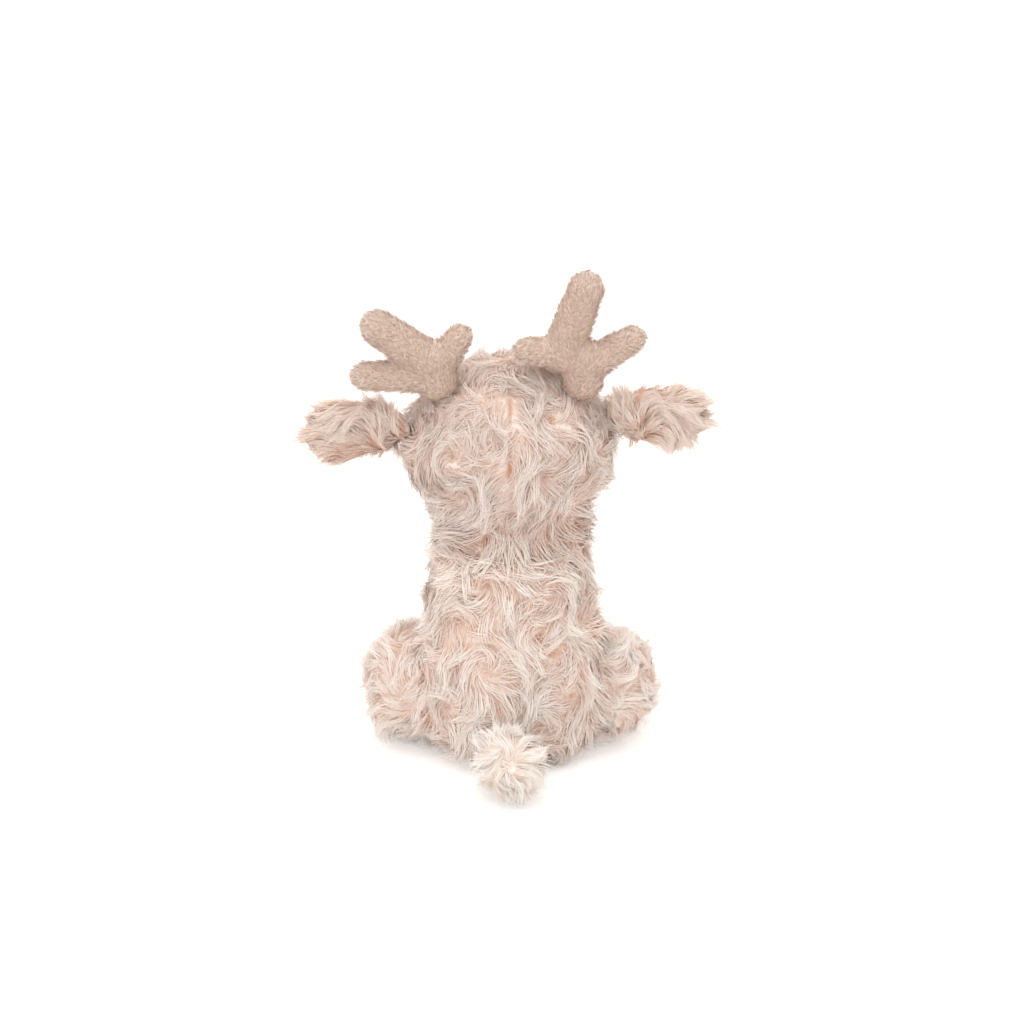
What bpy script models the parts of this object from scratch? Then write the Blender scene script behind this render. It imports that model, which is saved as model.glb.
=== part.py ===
"""A seated plush deer: sewn skins over stuffing, with bead eyes, velour antlers, ears and hooves.

Metres, +Z up. The deer faces -Y, and its left side is at +X. The origin is on the ground, in the
middle of the toy's outline. The outside of a fur skin is the middle of its curled pile.
"""

import math
from dataclasses import dataclass

import bmesh
import bpy
from mathutils import Matrix, Vector

# Fabric, seams and clearances
FUR_THICKNESS = 0.005
VELOUR_THICKNESS = 0.0014
SEWN_GAP = 0.0003
SWING_GAP = 0.0003
FLAT_DEPTH = 0.0005
CUT_OVERRUN = 0.003
MERGE_DISTANCE = 0.00001

# Torso, a sock that is open at the neck
TORSO_Y = -0.0015
TORSO_WIDTH = 0.087
TORSO_DEPTH = 0.075
TORSO_HEIGHT = 0.0935
TORSO_SEAT_WIDTH = 0.048
TORSO_SEAT_DEPTH = 0.042
TORSO_BELLY_HEIGHT = 0.024
TORSO_CHEST_FORWARD = 0.002
TORSO_BELLY_PINCH = 0.36
TORSO_PINCH_TOP_SHARE = 0.6
TORSO_LID_RISE = 0.012
TORSO_SIDES = 22
TORSO_BASE_ANGLES = (10, 30, 54, 90)
TORSO_RISE_SHARES = (0.2, 0.4, 0.6, 0.8, 1.0)

# Pellet bag in the seat
BAG_WIDTH_SHARE = 0.39
BAG_HEIGHT = 0.019
BAG_BACK = 0.012
BAG_MOUTH_SHARE = 0.65
BAG_LOOSENESS = 0.0006
BAG_SEGMENTS = 14

# Neck: the round end of the head turns in the torso's open top
NECK_RADIUS = 0.031
NECK_RISE = 0.0047
NECK_RIM = 0.0025
NECK_OPENING_ANGLE = -55
NECK_BALL_ANGLES = (-34, -12, 10)
STITCHING_RADIUS = 0.0008
STITCHING_STANDOFF = 0.0017
STITCHING_SEGMENTS = 24
STITCHING_SIDES = 6

# Head
HEAD_WIDTH = 0.090
HEAD_DEPTH = 0.084
HEAD_CROWN = 0.0415
HEAD_JOWL = 0.037
HEAD_RISE = 0.0353
HEAD_FORWARD = 0.004
HEAD_SIDES = 22
HEAD_ANGLES = (-38, -16, 6, 26, 44, 60, 76)

# Muzzle and nose
MUZZLE_WIDTH = 0.032
MUZZLE_HEIGHT = 0.025
MUZZLE_LENGTH = 0.0165
MUZZLE_DROP = 0.011
MUZZLE_SEGMENTS = 16
NOSE_WIDTH = 0.013
NOSE_HEIGHT = 0.0085
NOSE_THICKNESS = 0.0064
NOSE_ANGLE = 24
NOSE_SEGMENTS = 12

# Eyes: a bead with a shank, held by a washer inside the head
EYE_RADIUS = 0.0045
EYE_DOME = 0.0034
EYE_OUT = 0.0175
EYE_RISE = 0.0085
EYE_SINK = 0.0015
EYE_SIDES = 12
EYE_DOME_STEPS = 3
SHANK_RADIUS = 0.0015
SHANK_LENGTH = 0.009
WASHER_RADIUS = 0.0055
WASHER_THICKNESS = 0.001

# Ears: a fur back with a scooped front, and a velour lining in the scoop
EAR_LENGTH = 0.0394
EAR_HALF_WIDTH = 0.014
EAR_HALF_THICKNESS = 0.0056
EAR_ROOT_RADIUS = 0.0065
EAR_PROUD = 0.0025
EAR_BACK = 0.004
EAR_HEIGHT_LEFT = 0.0102
EAR_HEIGHT_RIGHT = 0.0160
EAR_DROOP = 4
EAR_SIDES = 14
EAR_ROOT_ANGLES = (-62, -32, 0)
EAR_SCOOP_RADIUS = 0.045
EAR_SCOOP_DEPTH = 0.0042
EAR_SCOOP_SHARE = 0.6
EAR_SCOOP_SEGMENTS = 28
EAR_LINING_INSET = 0.0012
EAR_LENGTH_SHARES = (0.1, 0.18, 0.3, 0.46, 0.62, 0.76, 0.88, 0.96)
EAR_WIDTH_SHARES = (0.46, 0.71, 0.9, 0.98, 1.0, 0.96, 0.78, 0.46)
EAR_THICKNESS_SHARES = (1.04, 1.02, 1.02, 1.0, 0.97, 0.9, 0.75, 0.45)

# Antlers: a stuffed palm that rises from the root, with a main, an inner and an outer tine
ANTLER_ROOT_RADIUS = 0.009
PALM_RADIUS = 0.0088
ANTLER_OUT = 0.027
ANTLER_BACK = 0.013
ANTLER_PROUD = 0.0045
ANTLER_OPENING_RADIUS = 0.005
ANTLER_LOOSENESS = 0.0005
ANTLER_SIDES = 12
ANTLER_INNER_SIDES = 10
ANTLER_TILT = 8
MAIN_TINE_RADIUS = 0.0078
INNER_TINE_BASE_RADIUS = 0.0072
INNER_TINE_RADIUS = 0.0059
OUTER_TINE_BASE_RADIUS = 0.008
OUTER_TINE_RADIUS = 0.0062
TINE_SIDES = 10
TINE_INNER_SIDES = 8

# Where each antler's palm and tines end, outwards and upwards from its root; the two lean apart
LEFT_PALM = (0.002, 0.009)
LEFT_MAIN_START = (0.0038, 0.0086)
LEFT_MAIN_TINE = (0.0235, 0.0233)
LEFT_INNER_START = (-0.002, 0.009)
LEFT_INNER_TINE = (-0.0088, 0.0191)
LEFT_OUTER_START = (0.002, 0.0022)
LEFT_OUTER_TINE = (0.0298, 0.0019)
RIGHT_PALM = (-0.001, 0.0105)
RIGHT_MAIN_START = (-0.0083, 0.0124)
RIGHT_MAIN_TINE = (0.0008, 0.0399)
RIGHT_INNER_START = (-0.0083, 0.0118)
RIGHT_INNER_TINE = (-0.0227, 0.0134)
RIGHT_OUTER_START = (-0.0017, 0.0042)
RIGHT_OUTER_TINE = (0.0197, 0.0181)

# Forelegs, with velour hooves
FORELEG_ROOT_RADIUS = 0.0098
FORELEG_TIP_RADIUS = 0.0095
FORELEG_LENGTH = 0.046
FORELEG_SWELL = 0.0
FORELEG_HOOF_LENGTH = 0.013
FORELEG_SKIN = 0.0035
SHOULDER_OUT = 0.020
SHOULDER_HEIGHT_SHARE = 0.706
SHOULDER_PROUD = 0.005
FORELEG_FORWARD = 27
FORELEG_INWARD = 6
FORELEG_SIDES = 14

# Hind legs, with velour hooves
HIND_ROOT_RADIUS = 0.026
HIND_TIP_RADIUS = 0.019
HIND_LENGTH = 0.0335
HIND_SWELL = 0.0
HIND_HOOF_LENGTH = 0.013
HIP_SINK = 0.0055
HIP_FORWARD = 0.007
HIND_SPLAY = 14
HIND_SIDES = 18

# Limbs in general
LIMB_BLUNT_SHARE = 0.82
LIMB_SWELL_SHARES = (0.25, 0.5, 0.75)
ROUND_STEP = 22.5
ROUND_SLACK_SHARE = 0.3

# Tail, a round tuft on a short root
TAIL_RADIUS = 0.0152
TAIL_ROOT_RADIUS = 0.0045
TAIL_LENGTH = 0.0155
TAIL_HEIGHT = 0.0168
TAIL_PROUD = 0.002
TAIL_CHANNEL_RADIUS = 0.0022
TAIL_SIDES = 14

# Cutters
NECK_SEAT_SEGMENTS = 22
ANTLER_SEAT_SEGMENTS = 14
EAR_SEAT_SEGMENTS = 12
TAIL_SEAT_SEGMENTS = 10
GROUND_SIZE = 0.30
GROUND_DEPTH = 0.02

LEFT = 1
RIGHT = -1
SIDE_NAMES = {LEFT: "left", RIGHT: "right"}


@dataclass
class Ring:
    """One cross-section of a lofted form: its middle, its half sizes, and how far it is pinched."""

    middle: Vector
    half_right: float
    half_up: float
    pinch: float = 0.0

    def point(self, angle, right, up):
        """A point of the section; a pinch narrows its lower half towards the end of it."""
        across = self.half_right * math.cos(angle)
        if math.sin(angle) < 0:
            across *= 1 - self.pinch * math.sin(angle) ** 2
        return self.middle + right * across + up * (self.half_up * math.sin(angle))


class Materials:
    """The colours and finishes of the toy's pieces."""

    def __init__(self):
        self.fur = self.make("cream_fur", "EAD9CE", 0.95)
        self.velour = self.make("taupe_velour", "CDB2A0", 0.9)
        self.lining = self.make("ear_velour", "DDBBA6", 0.9)
        self.stuffing = self.make("polyester_stuffing", "F2F0EC", 0.95)
        self.bag = self.make("calico_bag", "DCD3C2", 0.9)
        self.thread = self.make("sewing_thread", "E2CFC2", 0.7)
        self.nose = self.make("nose_thread", "8A6354", 0.6)
        self.bead = self.make("black_bead", "17120F", 0.12)
        self.washer = self.make("white_washer", "E9E9E6", 0.5)

    def make(self, name, colour, roughness):
        """Makes a Principled material from an sRGB hex colour."""
        material = bpy.data.materials.new(name)
        material.use_nodes = True
        shader = material.node_tree.nodes["Principled BSDF"]
        shader.inputs["Base Color"].default_value = (*linear_colour(colour), 1)
        shader.inputs["Roughness"].default_value = roughness
        shader.inputs["Metallic"].default_value = 0
        return material


def linear_colour(colour):
    """Turns an sRGB hex colour to linear red, green and blue."""
    values = [int(colour[i : i + 2], 16) / 255 for i in (0, 2, 4)]
    return [v / 12.92 if v <= 0.04045 else ((v + 0.055) / 1.055) ** 2.4 for v in values]


class Toy:
    """The collections, and the pivot that each moving group of pieces hangs on."""

    def __init__(self):
        for old in list(bpy.data.objects):
            bpy.data.objects.remove(old)
        self.materials = Materials()
        self.parts = self.collection("plush_deer")
        self.cutters = self.collection("cutters")

    def collection(self, name):
        """Adds a collection to the scene."""
        added = bpy.data.collections.new(name)
        bpy.context.scene.collection.children.link(added)
        return added

    def pivot(self, name, place):
        """Adds an empty on a joint's axis."""
        empty = bpy.data.objects.new(name, None)
        empty.location = place
        self.parts.objects.link(empty)
        return empty

    def part(self, name, mesh, material, pivot=None, place=None, along=None):
        """Adds a piece, hung on a pivot and pointing its +Z along a direction."""
        item = bpy.data.objects.new(name, mesh)
        self.parts.objects.link(item)
        item.data.materials.append(material)
        set_place(item, pivot, place, along)
        return item

    def cutter(self, name, mesh, place=None, along=None):
        """Adds a hidden shape that other pieces are cut or joined with."""
        item = bpy.data.objects.new(name, mesh)
        self.cutters.objects.link(item)
        item.hide_render = True
        item.display_type = "WIRE"
        set_place(item, None, place, along)
        return item


def set_place(item, pivot, place, along):
    """Places an object in the world, under its pivot if it has one."""
    spot = Vector(place) if place is not None else Vector()
    if pivot is not None:
        item.parent = pivot
        spot = spot - pivot.location if place is not None else Vector()
    item.location = spot
    if along is not None:
        item.rotation_mode = "QUATERNION"
        item.rotation_quaternion = along.to_track_quat("Z", "Y")


def combine(item, tool, operation="DIFFERENCE"):
    """Cuts a piece with a tool, or joins or keeps what they share."""
    modifier = item.modifiers.new(f"{operation.lower()}_{tool.name}", "BOOLEAN")
    modifier.operation = operation
    modifier.object = tool
    modifier.solver = "EXACT"


def offset_surface(item, distance):
    """Moves every face of a closed piece out by a distance, or in where it is negative."""
    modifier = item.modifiers.new("offset", "DISPLACE")
    modifier.direction = "NORMAL"
    modifier.mid_level = 0
    modifier.strength = distance


def give_wall(item, thickness):
    """Turns an open surface into a shell whose outside is that surface."""
    modifier = item.modifiers.new("wall", "SOLIDIFY")
    modifier.thickness = thickness
    modifier.offset = -1


def loft_mesh(name, rings, right, up, sides, closed_start=True, closed_end=True):
    """Skins a row of elliptical rings; a closed end gets a point at its first or last middle.

    The rings follow each other along the cross product of the right and up directions.
    """
    shape = bmesh.new()
    first = 1 if closed_start else 0
    last = len(rings) - 1 if closed_end else len(rings)
    loops = []
    for ring in rings[first:last]:
        loop = []
        for k in range(sides):
            loop.append(shape.verts.new(ring.point(2 * math.pi * k / sides, right, up)))
        loops.append(loop)
    for lower, upper in zip(loops, loops[1:]):
        for k in range(sides):
            after = (k + 1) % sides
            shape.faces.new((lower[k], lower[after], upper[after], upper[k]))
    if closed_start:
        tip = shape.verts.new(rings[0].middle)
        for k in range(sides):
            shape.faces.new((tip, loops[0][(k + 1) % sides], loops[0][k]))
    if closed_end:
        tip = shape.verts.new(rings[-1].middle)
        for k in range(sides):
            shape.faces.new((tip, loops[-1][k], loops[-1][(k + 1) % sides]))
    return finished_mesh(name, shape)


def finished_mesh(name, shape):
    """Turns a bmesh into a smooth-shaded mesh."""
    mesh = bpy.data.meshes.new(name)
    shape.to_mesh(mesh)
    shape.free()
    mesh.shade_smooth()
    mesh.set_sharp_from_angle(angle=math.radians(50))
    return mesh


def ball_mesh(name, radii, segments):
    """An ellipsoid about the origin, with its three radii."""
    shape = bmesh.new()
    bmesh.ops.create_uvsphere(shape, u_segments=segments, v_segments=segments // 2, radius=1)
    bmesh.ops.scale(shape, vec=Vector(radii), verts=shape.verts)
    return finished_mesh(name, shape)


def rod_mesh(name, radius, low, high, segments):
    """A cylinder along Z from a low to a high end."""
    shape = bmesh.new()
    middle = Matrix.Translation((0, 0, (low + high) / 2))
    bmesh.ops.create_cone(
        shape, cap_ends=True, segments=segments, radius1=radius, radius2=radius, depth=high - low, matrix=middle
    )
    return finished_mesh(name, shape)


def block_mesh(name, width, height):
    """A square block whose top is at the origin."""
    shape = bmesh.new()
    bmesh.ops.create_cube(shape, size=1)
    bmesh.ops.scale(shape, vec=Vector((width, width, height)), verts=shape.verts)
    bmesh.ops.translate(shape, vec=Vector((0, 0, -height / 2)), verts=shape.verts)
    return finished_mesh(name, shape)


def turned_mesh(name, profile, sides, closed=False):
    """Turns a profile of (radius, height) points about Z; it runs down its outer side."""
    outline = bpy.data.meshes.new(f"{name}_profile")
    points = [(radius, 0, height) for radius, height in profile]
    edges = [(k, k + 1) for k in range(len(points) - 1)]
    if closed:
        edges.append((len(points) - 1, 0))
    outline.from_pydata(points, edges, [])
    turning = bpy.data.objects.new(f"{name}_turning", outline)
    bpy.context.scene.collection.objects.link(turning)
    screw = turning.modifiers.new("turn", "SCREW")
    screw.axis = "Z"
    screw.steps = sides
    screw.render_steps = sides
    screw.use_merge_vertices = True
    screw.merge_threshold = MERGE_DISTANCE
    bpy.context.view_layer.update()
    graph = bpy.context.evaluated_depsgraph_get()
    mesh = bpy.data.meshes.new_from_object(turning.evaluated_get(graph))
    bpy.data.objects.remove(turning)
    mesh.name = name
    mesh.shade_smooth()
    mesh.set_sharp_from_angle(angle=math.radians(50))
    return mesh


def arc(radius, middle, start, stop, stretch=1.0):
    """Profile points round a circle on the axis, from one angle down to another, in degrees.

    The points between the ends are at the same angles on every circle, so that walls are parallel.
    """
    angles = [start]
    station = 90 - ROUND_STEP
    while station > stop + ROUND_STEP * ROUND_SLACK_SHARE:
        if station < start - ROUND_STEP * ROUND_SLACK_SHARE:
            angles.append(station)
        station -= ROUND_STEP
    angles.append(stop)
    points = []
    for angle in map(math.radians, angles):
        points.append((radius * math.cos(angle), middle + radius * stretch * math.sin(angle)))
    return points


def pod_profile(root, tip, length, swell=0.0, blunt=1.0, root_angle=-90):
    """The outline of a stuffed pod, from its tip down to its root ball, which is at the origin."""
    lean = math.degrees(math.asin((root - tip) / length))
    cap = arc(tip, length, 90, lean, blunt)
    ball = arc(root, 0, lean, root_angle)
    sides = []
    (top_radius, top), (low_radius, low) = cap[-1], ball[0]
    for share in LIMB_SWELL_SHARES if swell else ():
        radius = top_radius + (low_radius - top_radius) * share + swell * math.sin(math.pi * share)
        sides.append((radius, top + (low - top) * share))
    profile = cap + sides + ball
    profile[0] = (0, profile[0][1])
    if root_angle == -90:
        profile[-1] = (0, profile[-1][1])
    return profile


def joined(outer, inner):
    """The outline of a cup whose closed end is down: its inside, the seam at the top, its outside."""
    return inner[::-1] + outer


def profile_radius(profile, height):
    """The radius of a profile at a height."""
    for (upper_radius, upper), (lower_radius, lower) in zip(profile, profile[1:]):
        if upper >= height >= lower:
            share = (upper - height) / (upper - lower) if upper > lower else 0
            return upper_radius + (lower_radius - upper_radius) * share
    return 0


def profile_part(profile, high=None, low=None):
    """The stretch of a profile between two heights, with a point on each cut."""
    inside = [p for p in profile if (high is None or p[1] < high) and (low is None or p[1] > low)]
    if high is not None:
        inside.insert(0, (profile_radius(profile, high), high))
    if low is not None:
        inside.append((profile_radius(profile, low), low))
    return inside


class Torso:
    """The torso skin, its stuffing and the pellet bag that weighs it down."""

    def __init__(self, toy):
        self.toy = toy
        self.rim = NECK_RADIUS + SWING_GAP + NECK_RIM
        self.neck = Vector((0, self.middle_y(TORSO_HEIGHT), TORSO_HEIGHT + NECK_RISE))

    def middle_y(self, height):
        """Where the torso's axis runs: the chest is a little ahead of the belly."""
        rise = (height - TORSO_BELLY_HEIGHT) / (TORSO_HEIGHT - TORSO_BELLY_HEIGHT)
        return TORSO_Y - TORSO_CHEST_FORWARD * max(0, rise)

    def half_sizes(self, height):
        """The half width and half depth at a height."""
        sizes = []
        for belly, seat in ((TORSO_WIDTH, TORSO_SEAT_WIDTH), (TORSO_DEPTH, TORSO_SEAT_DEPTH)):
            if height < TORSO_BELLY_HEIGHT:
                drop = (TORSO_BELLY_HEIGHT - height) / (TORSO_BELLY_HEIGHT + FLAT_DEPTH)
                swell = math.sqrt(max(0, 1 - drop * drop))
                sizes.append((seat + (belly - seat) * swell) / 2)
            else:
                rise = (height - TORSO_BELLY_HEIGHT) / (TORSO_HEIGHT - TORSO_BELLY_HEIGHT)
                swell = (1 + math.cos(math.pi * rise)) / 2
                sizes.append(self.rim + (belly / 2 - self.rim) * swell)
        return sizes

    def surface_y(self, out, height, side):
        """Where the front (-1) or the back (1) of the torso is, at a distance out and a height."""
        half_width, half_depth = self.half_sizes(height)
        share = min(1, abs(out) / half_width)
        return self.middle_y(height) + side * half_depth * math.sqrt(1 - share * share)

    def rings(self):
        """The cross-sections from the seat to the neck rim."""
        heights = []
        for angle in TORSO_BASE_ANGLES:
            rise = 1 - math.cos(math.radians(angle))
            heights.append(-FLAT_DEPTH + (TORSO_BELLY_HEIGHT + FLAT_DEPTH) * rise)
        for share in TORSO_RISE_SHARES:
            heights.append(TORSO_BELLY_HEIGHT + (TORSO_HEIGHT - TORSO_BELLY_HEIGHT) * share)
        rings = [Ring(Vector((0, TORSO_Y, -FLAT_DEPTH)), 0, 0)]
        for height in heights:
            half_width, half_depth = self.half_sizes(height)
            rise = (height - TORSO_BELLY_HEIGHT) / (TORSO_HEIGHT - TORSO_BELLY_HEIGHT)
            pinch = TORSO_BELLY_PINCH * min(1, max(0, 1 - rise / TORSO_PINCH_TOP_SHARE))
            middle = Vector((0, self.middle_y(height), height))
            rings.append(Ring(middle, half_width, half_depth, pinch))
        return rings

    def build(self, ground, cuts):
        """Builds the pieces, cut flat where they stand and with the seats of what is sewn in."""
        toy = self.toy
        right, up = Vector((1, 0, 0)), Vector((0, 1, 0))
        rings = self.rings()
        sock = loft_mesh("torso_skin", rings, right, up, TORSO_SIDES, closed_end=False)
        skin = toy.part("torso_skin", sock, toy.materials.fur)
        give_wall(skin, FUR_THICKNESS)
        above = rings[-1].middle + Vector((0, 0, TORSO_LID_RISE))
        lid = [Ring(above, self.rim, self.rim), Ring(above, 0, 0)]
        filled = loft_mesh("torso_stuffing", rings + lid, right, up, TORSO_SIDES)
        stuffing = toy.part("torso_stuffing", filled, toy.materials.stuffing)
        offset_surface(stuffing, -FUR_THICKNESS - SEWN_GAP)
        floor = FUR_THICKNESS - FLAT_DEPTH + SEWN_GAP
        bag_width = TORSO_WIDTH * BAG_WIDTH_SHARE
        radii = Vector((bag_width, bag_width, BAG_HEIGHT)) / 2
        middle = Vector((0, TORSO_Y + BAG_BACK, floor + radii.z))
        outline = arc(radii.x, 0, 90, -90, radii.z / radii.x)
        outline[0], outline[-1] = (0, radii.z), (0, -radii.z)
        mesh = turned_mesh("pellet_bag", outline, BAG_SEGMENTS)
        toy.part("pellet_bag", mesh, toy.materials.bag, None, middle)
        across, tall = radii.x + BAG_LOOSENESS, radii.z + BAG_LOOSENESS
        mouth = bag_width * BAG_MOUTH_SHARE / 2
        low = -math.degrees(math.acos(mouth / across))
        pocket = arc(across, 0, 90, low, tall / across)
        pocket[0] = (0, tall)
        pocket += [(mouth, -middle.z), (0, -middle.z)]
        mesh = turned_mesh("bag_pocket", pocket, BAG_SEGMENTS)
        combine(stuffing, toy.cutter("bag_pocket", mesh, middle))
        combine(skin, ground)
        for cut in cuts:
            combine(skin, cut)
            combine(stuffing, cut)


class Head:
    """The head skin and stuffing, the muzzle, nose and eyes, and the neck stitching."""

    def __init__(self, toy, neck):
        self.toy = toy
        self.neck = neck
        self.middle = neck + Vector((0, -HEAD_FORWARD, HEAD_RISE))

    def half_height(self, height):
        """The half height of the head's egg above or below its widest level."""
        return HEAD_CROWN if height >= self.middle.z else HEAD_JOWL

    def front_y(self, out, height):
        """Where the face is, at a distance out and a height."""
        rest = 1 - (2 * out / HEAD_WIDTH) ** 2 - ((height - self.middle.z) / self.half_height(height)) ** 2
        return self.middle.y - HEAD_DEPTH / 2 * math.sqrt(max(0, rest))

    def side_x(self, back, height):
        """How far out the side of the head is, at a distance back and a height."""
        rest = 1 - (2 * back / HEAD_DEPTH) ** 2 - ((height - self.middle.z) / self.half_height(height)) ** 2
        return HEAD_WIDTH / 2 * math.sqrt(max(0, rest))

    def top_z(self, out, back):
        """How high the crown is, at a distance out and back."""
        rest = 1 - (2 * out / HEAD_WIDTH) ** 2 - (2 * back / HEAD_DEPTH) ** 2
        return self.middle.z + HEAD_CROWN * math.sqrt(max(0, rest))

    def normal(self, point):
        """The direction straight out of the head at a point of its surface."""
        from_middle = point - self.middle
        steep = self.half_height(point.z)
        slope = Vector(
            (
                from_middle.x / (HEAD_WIDTH / 2) ** 2,
                from_middle.y / (HEAD_DEPTH / 2) ** 2,
                from_middle.z / steep**2,
            )
        )
        return slope.normalized()

    def rings(self, opening=None):
        """The cross-sections from the neck ball's opening, or its bottom, to the crown."""
        rings = []
        if opening is None:
            rings.append(Ring(self.neck - Vector((0, 0, NECK_RADIUS)), 0, 0))
            opening = NECK_OPENING_ANGLE
        for angle in (opening, *NECK_BALL_ANGLES):
            turn = math.radians(angle)
            half = NECK_RADIUS * math.cos(turn)
            rings.append(Ring(self.neck + Vector((0, 0, NECK_RADIUS * math.sin(turn))), half, half))
        for angle in HEAD_ANGLES:
            turn = math.radians(angle)
            reach = HEAD_CROWN if angle > 0 else HEAD_JOWL
            middle = self.middle + Vector((0, 0, reach * math.sin(turn)))
            rings.append(Ring(middle, HEAD_WIDTH / 2 * math.cos(turn), HEAD_DEPTH / 2 * math.cos(turn)))
        rings.append(Ring(self.middle + Vector((0, 0, HEAD_CROWN)), 0, 0))
        return rings

    def build(self, pivot, ring_pivot, cuts):
        """Builds the pieces on the nodding pivot, and the stitching on the turning one."""
        toy = self.toy
        right, up = Vector((1, 0, 0)), Vector((0, 1, 0))
        to_pivot = Matrix.Translation(-pivot.location)
        sock = loft_mesh("head_skin", self.rings(NECK_OPENING_ANGLE), right, up, HEAD_SIDES, closed_start=False)
        sock.transform(to_pivot)
        skin = toy.part("head_skin", sock, toy.materials.fur, pivot)
        give_wall(skin, FUR_THICKNESS)
        filled = loft_mesh("head_stuffing", self.rings(), right, up, HEAD_SIDES)
        filled.transform(to_pivot)
        stuffing = toy.part("head_stuffing", filled, toy.materials.stuffing, pivot)
        offset_surface(stuffing, -FUR_THICKNESS - SEWN_GAP)
        for cut in cuts:
            combine(skin, cut)
            combine(stuffing, cut)
        form = toy.cutter("head_form", loft_mesh("head_form", self.rings(), right, up, HEAD_SIDES))
        offset_surface(form, SEWN_GAP)
        self.build_muzzle(pivot, form)
        for side in (LEFT, RIGHT):
            self.build_eye(side, pivot, skin, stuffing)
        self.build_stitching(ring_pivot)

    def build_muzzle(self, pivot, form):
        """Builds the padded muzzle against the face, and the nose against the muzzle."""
        toy = self.toy
        height = self.middle.z - MUZZLE_DROP
        middle = Vector((0, self.front_y(0, height), height))
        radii = Vector((MUZZLE_WIDTH / 2, MUZZLE_LENGTH, MUZZLE_HEIGHT / 2))
        mesh = ball_mesh("muzzle", radii, MUZZLE_SEGMENTS)
        muzzle = toy.part("muzzle", mesh, toy.materials.velour, pivot, middle)
        combine(muzzle, form)
        grown = radii + Vector((SEWN_GAP, SEWN_GAP, SEWN_GAP))
        against = toy.cutter("muzzle_form", ball_mesh("muzzle_form", grown, MUZZLE_SEGMENTS), middle)
        turn = math.radians(NOSE_ANGLE)
        place = middle + Vector((0, -radii.y * math.cos(turn), radii.z * math.sin(turn)))
        shape = Vector((NOSE_WIDTH, NOSE_THICKNESS, NOSE_HEIGHT)) / 2
        nose = toy.part("nose", ball_mesh("nose", shape, NOSE_SEGMENTS), toy.materials.nose, pivot, place)
        combine(nose, against)

    def build_eye(self, side, pivot, skin, stuffing):
        """Builds a bead eye whose shank goes through the skin, and its washer behind the skin."""
        toy = self.toy
        name = SIDE_NAMES[side]
        height = self.middle.z + EYE_RISE
        surface = Vector((side * EYE_OUT, self.front_y(EYE_OUT, height), height))
        facing = self.normal(surface)
        seat = surface - facing * EYE_SINK
        profile = []
        for k in range(EYE_DOME_STEPS + 1):
            turn = math.pi / 2 * (1 - k / EYE_DOME_STEPS)
            profile.append((EYE_RADIUS * math.cos(turn), EYE_DOME * math.sin(turn)))
        profile[0] = (0, EYE_DOME)
        profile += [(SHANK_RADIUS, 0), (SHANK_RADIUS, -SHANK_LENGTH), (0, -SHANK_LENGTH)]
        mesh = turned_mesh(f"eye_{name}", profile, EYE_SIDES)
        toy.part(f"eye_{name}", mesh, toy.materials.bead, pivot, seat, facing)
        top = EYE_SINK - FUR_THICKNESS - SEWN_GAP
        hole = SHANK_RADIUS + SEWN_GAP
        bottom = top - WASHER_THICKNESS
        ring = [(WASHER_RADIUS, top), (WASHER_RADIUS, bottom), (hole, bottom), (hole, top)]
        mesh = turned_mesh(f"eye_washer_{name}", ring, EYE_SIDES, closed=True)
        toy.part(f"eye_washer_{name}", mesh, toy.materials.washer, pivot, seat, facing)
        bore = rod_mesh(f"shank_hole_{name}", hole, -SHANK_LENGTH - SEWN_GAP, CUT_OVERRUN, EYE_SIDES)
        bore_cutter = toy.cutter(f"shank_hole_{name}", bore, seat, facing)
        dish = rod_mesh(f"eye_dish_{name}", EYE_RADIUS + SEWN_GAP, -SEWN_GAP, CUT_OVERRUN + EYE_SINK, EYE_SIDES)
        combine(skin, bore_cutter)
        combine(skin, toy.cutter(f"eye_dish_{name}", dish, seat, facing))
        reach = (WASHER_RADIUS + SEWN_GAP) / math.cos(math.pi / EYE_SIDES)
        pocket = rod_mesh(f"washer_pocket_{name}", reach, bottom - SEWN_GAP, top + SEWN_GAP, EYE_SIDES)
        pocket_cutter = toy.cutter(f"washer_pocket_{name}", pocket, seat, facing)
        combine(skin, pocket_cutter)
        combine(stuffing, bore_cutter)
        combine(stuffing, pocket_cutter)

    def build_stitching(self, pivot):
        """Builds the ring of drawn thread that lies on the torso's rim, round the neck ball."""
        toy = self.toy
        reach = NECK_RADIUS + STITCHING_STANDOFF
        drop = NECK_RISE - STITCHING_RADIUS - SEWN_GAP
        across = math.sqrt(reach * reach - drop * drop)
        circle = []
        for k in range(STITCHING_SIDES):
            turn = math.radians(90 - 360 * k / STITCHING_SIDES)
            circle.append((across + STITCHING_RADIUS * math.cos(turn), STITCHING_RADIUS * math.sin(turn)))
        mesh = turned_mesh("neck_stitching", circle, STITCHING_SEGMENTS, closed=True)
        middle = self.neck - Vector((0, 0, drop))
        toy.part("neck_stitching", mesh, toy.materials.thread, pivot, middle, Vector((0, 0, 1)))


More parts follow.
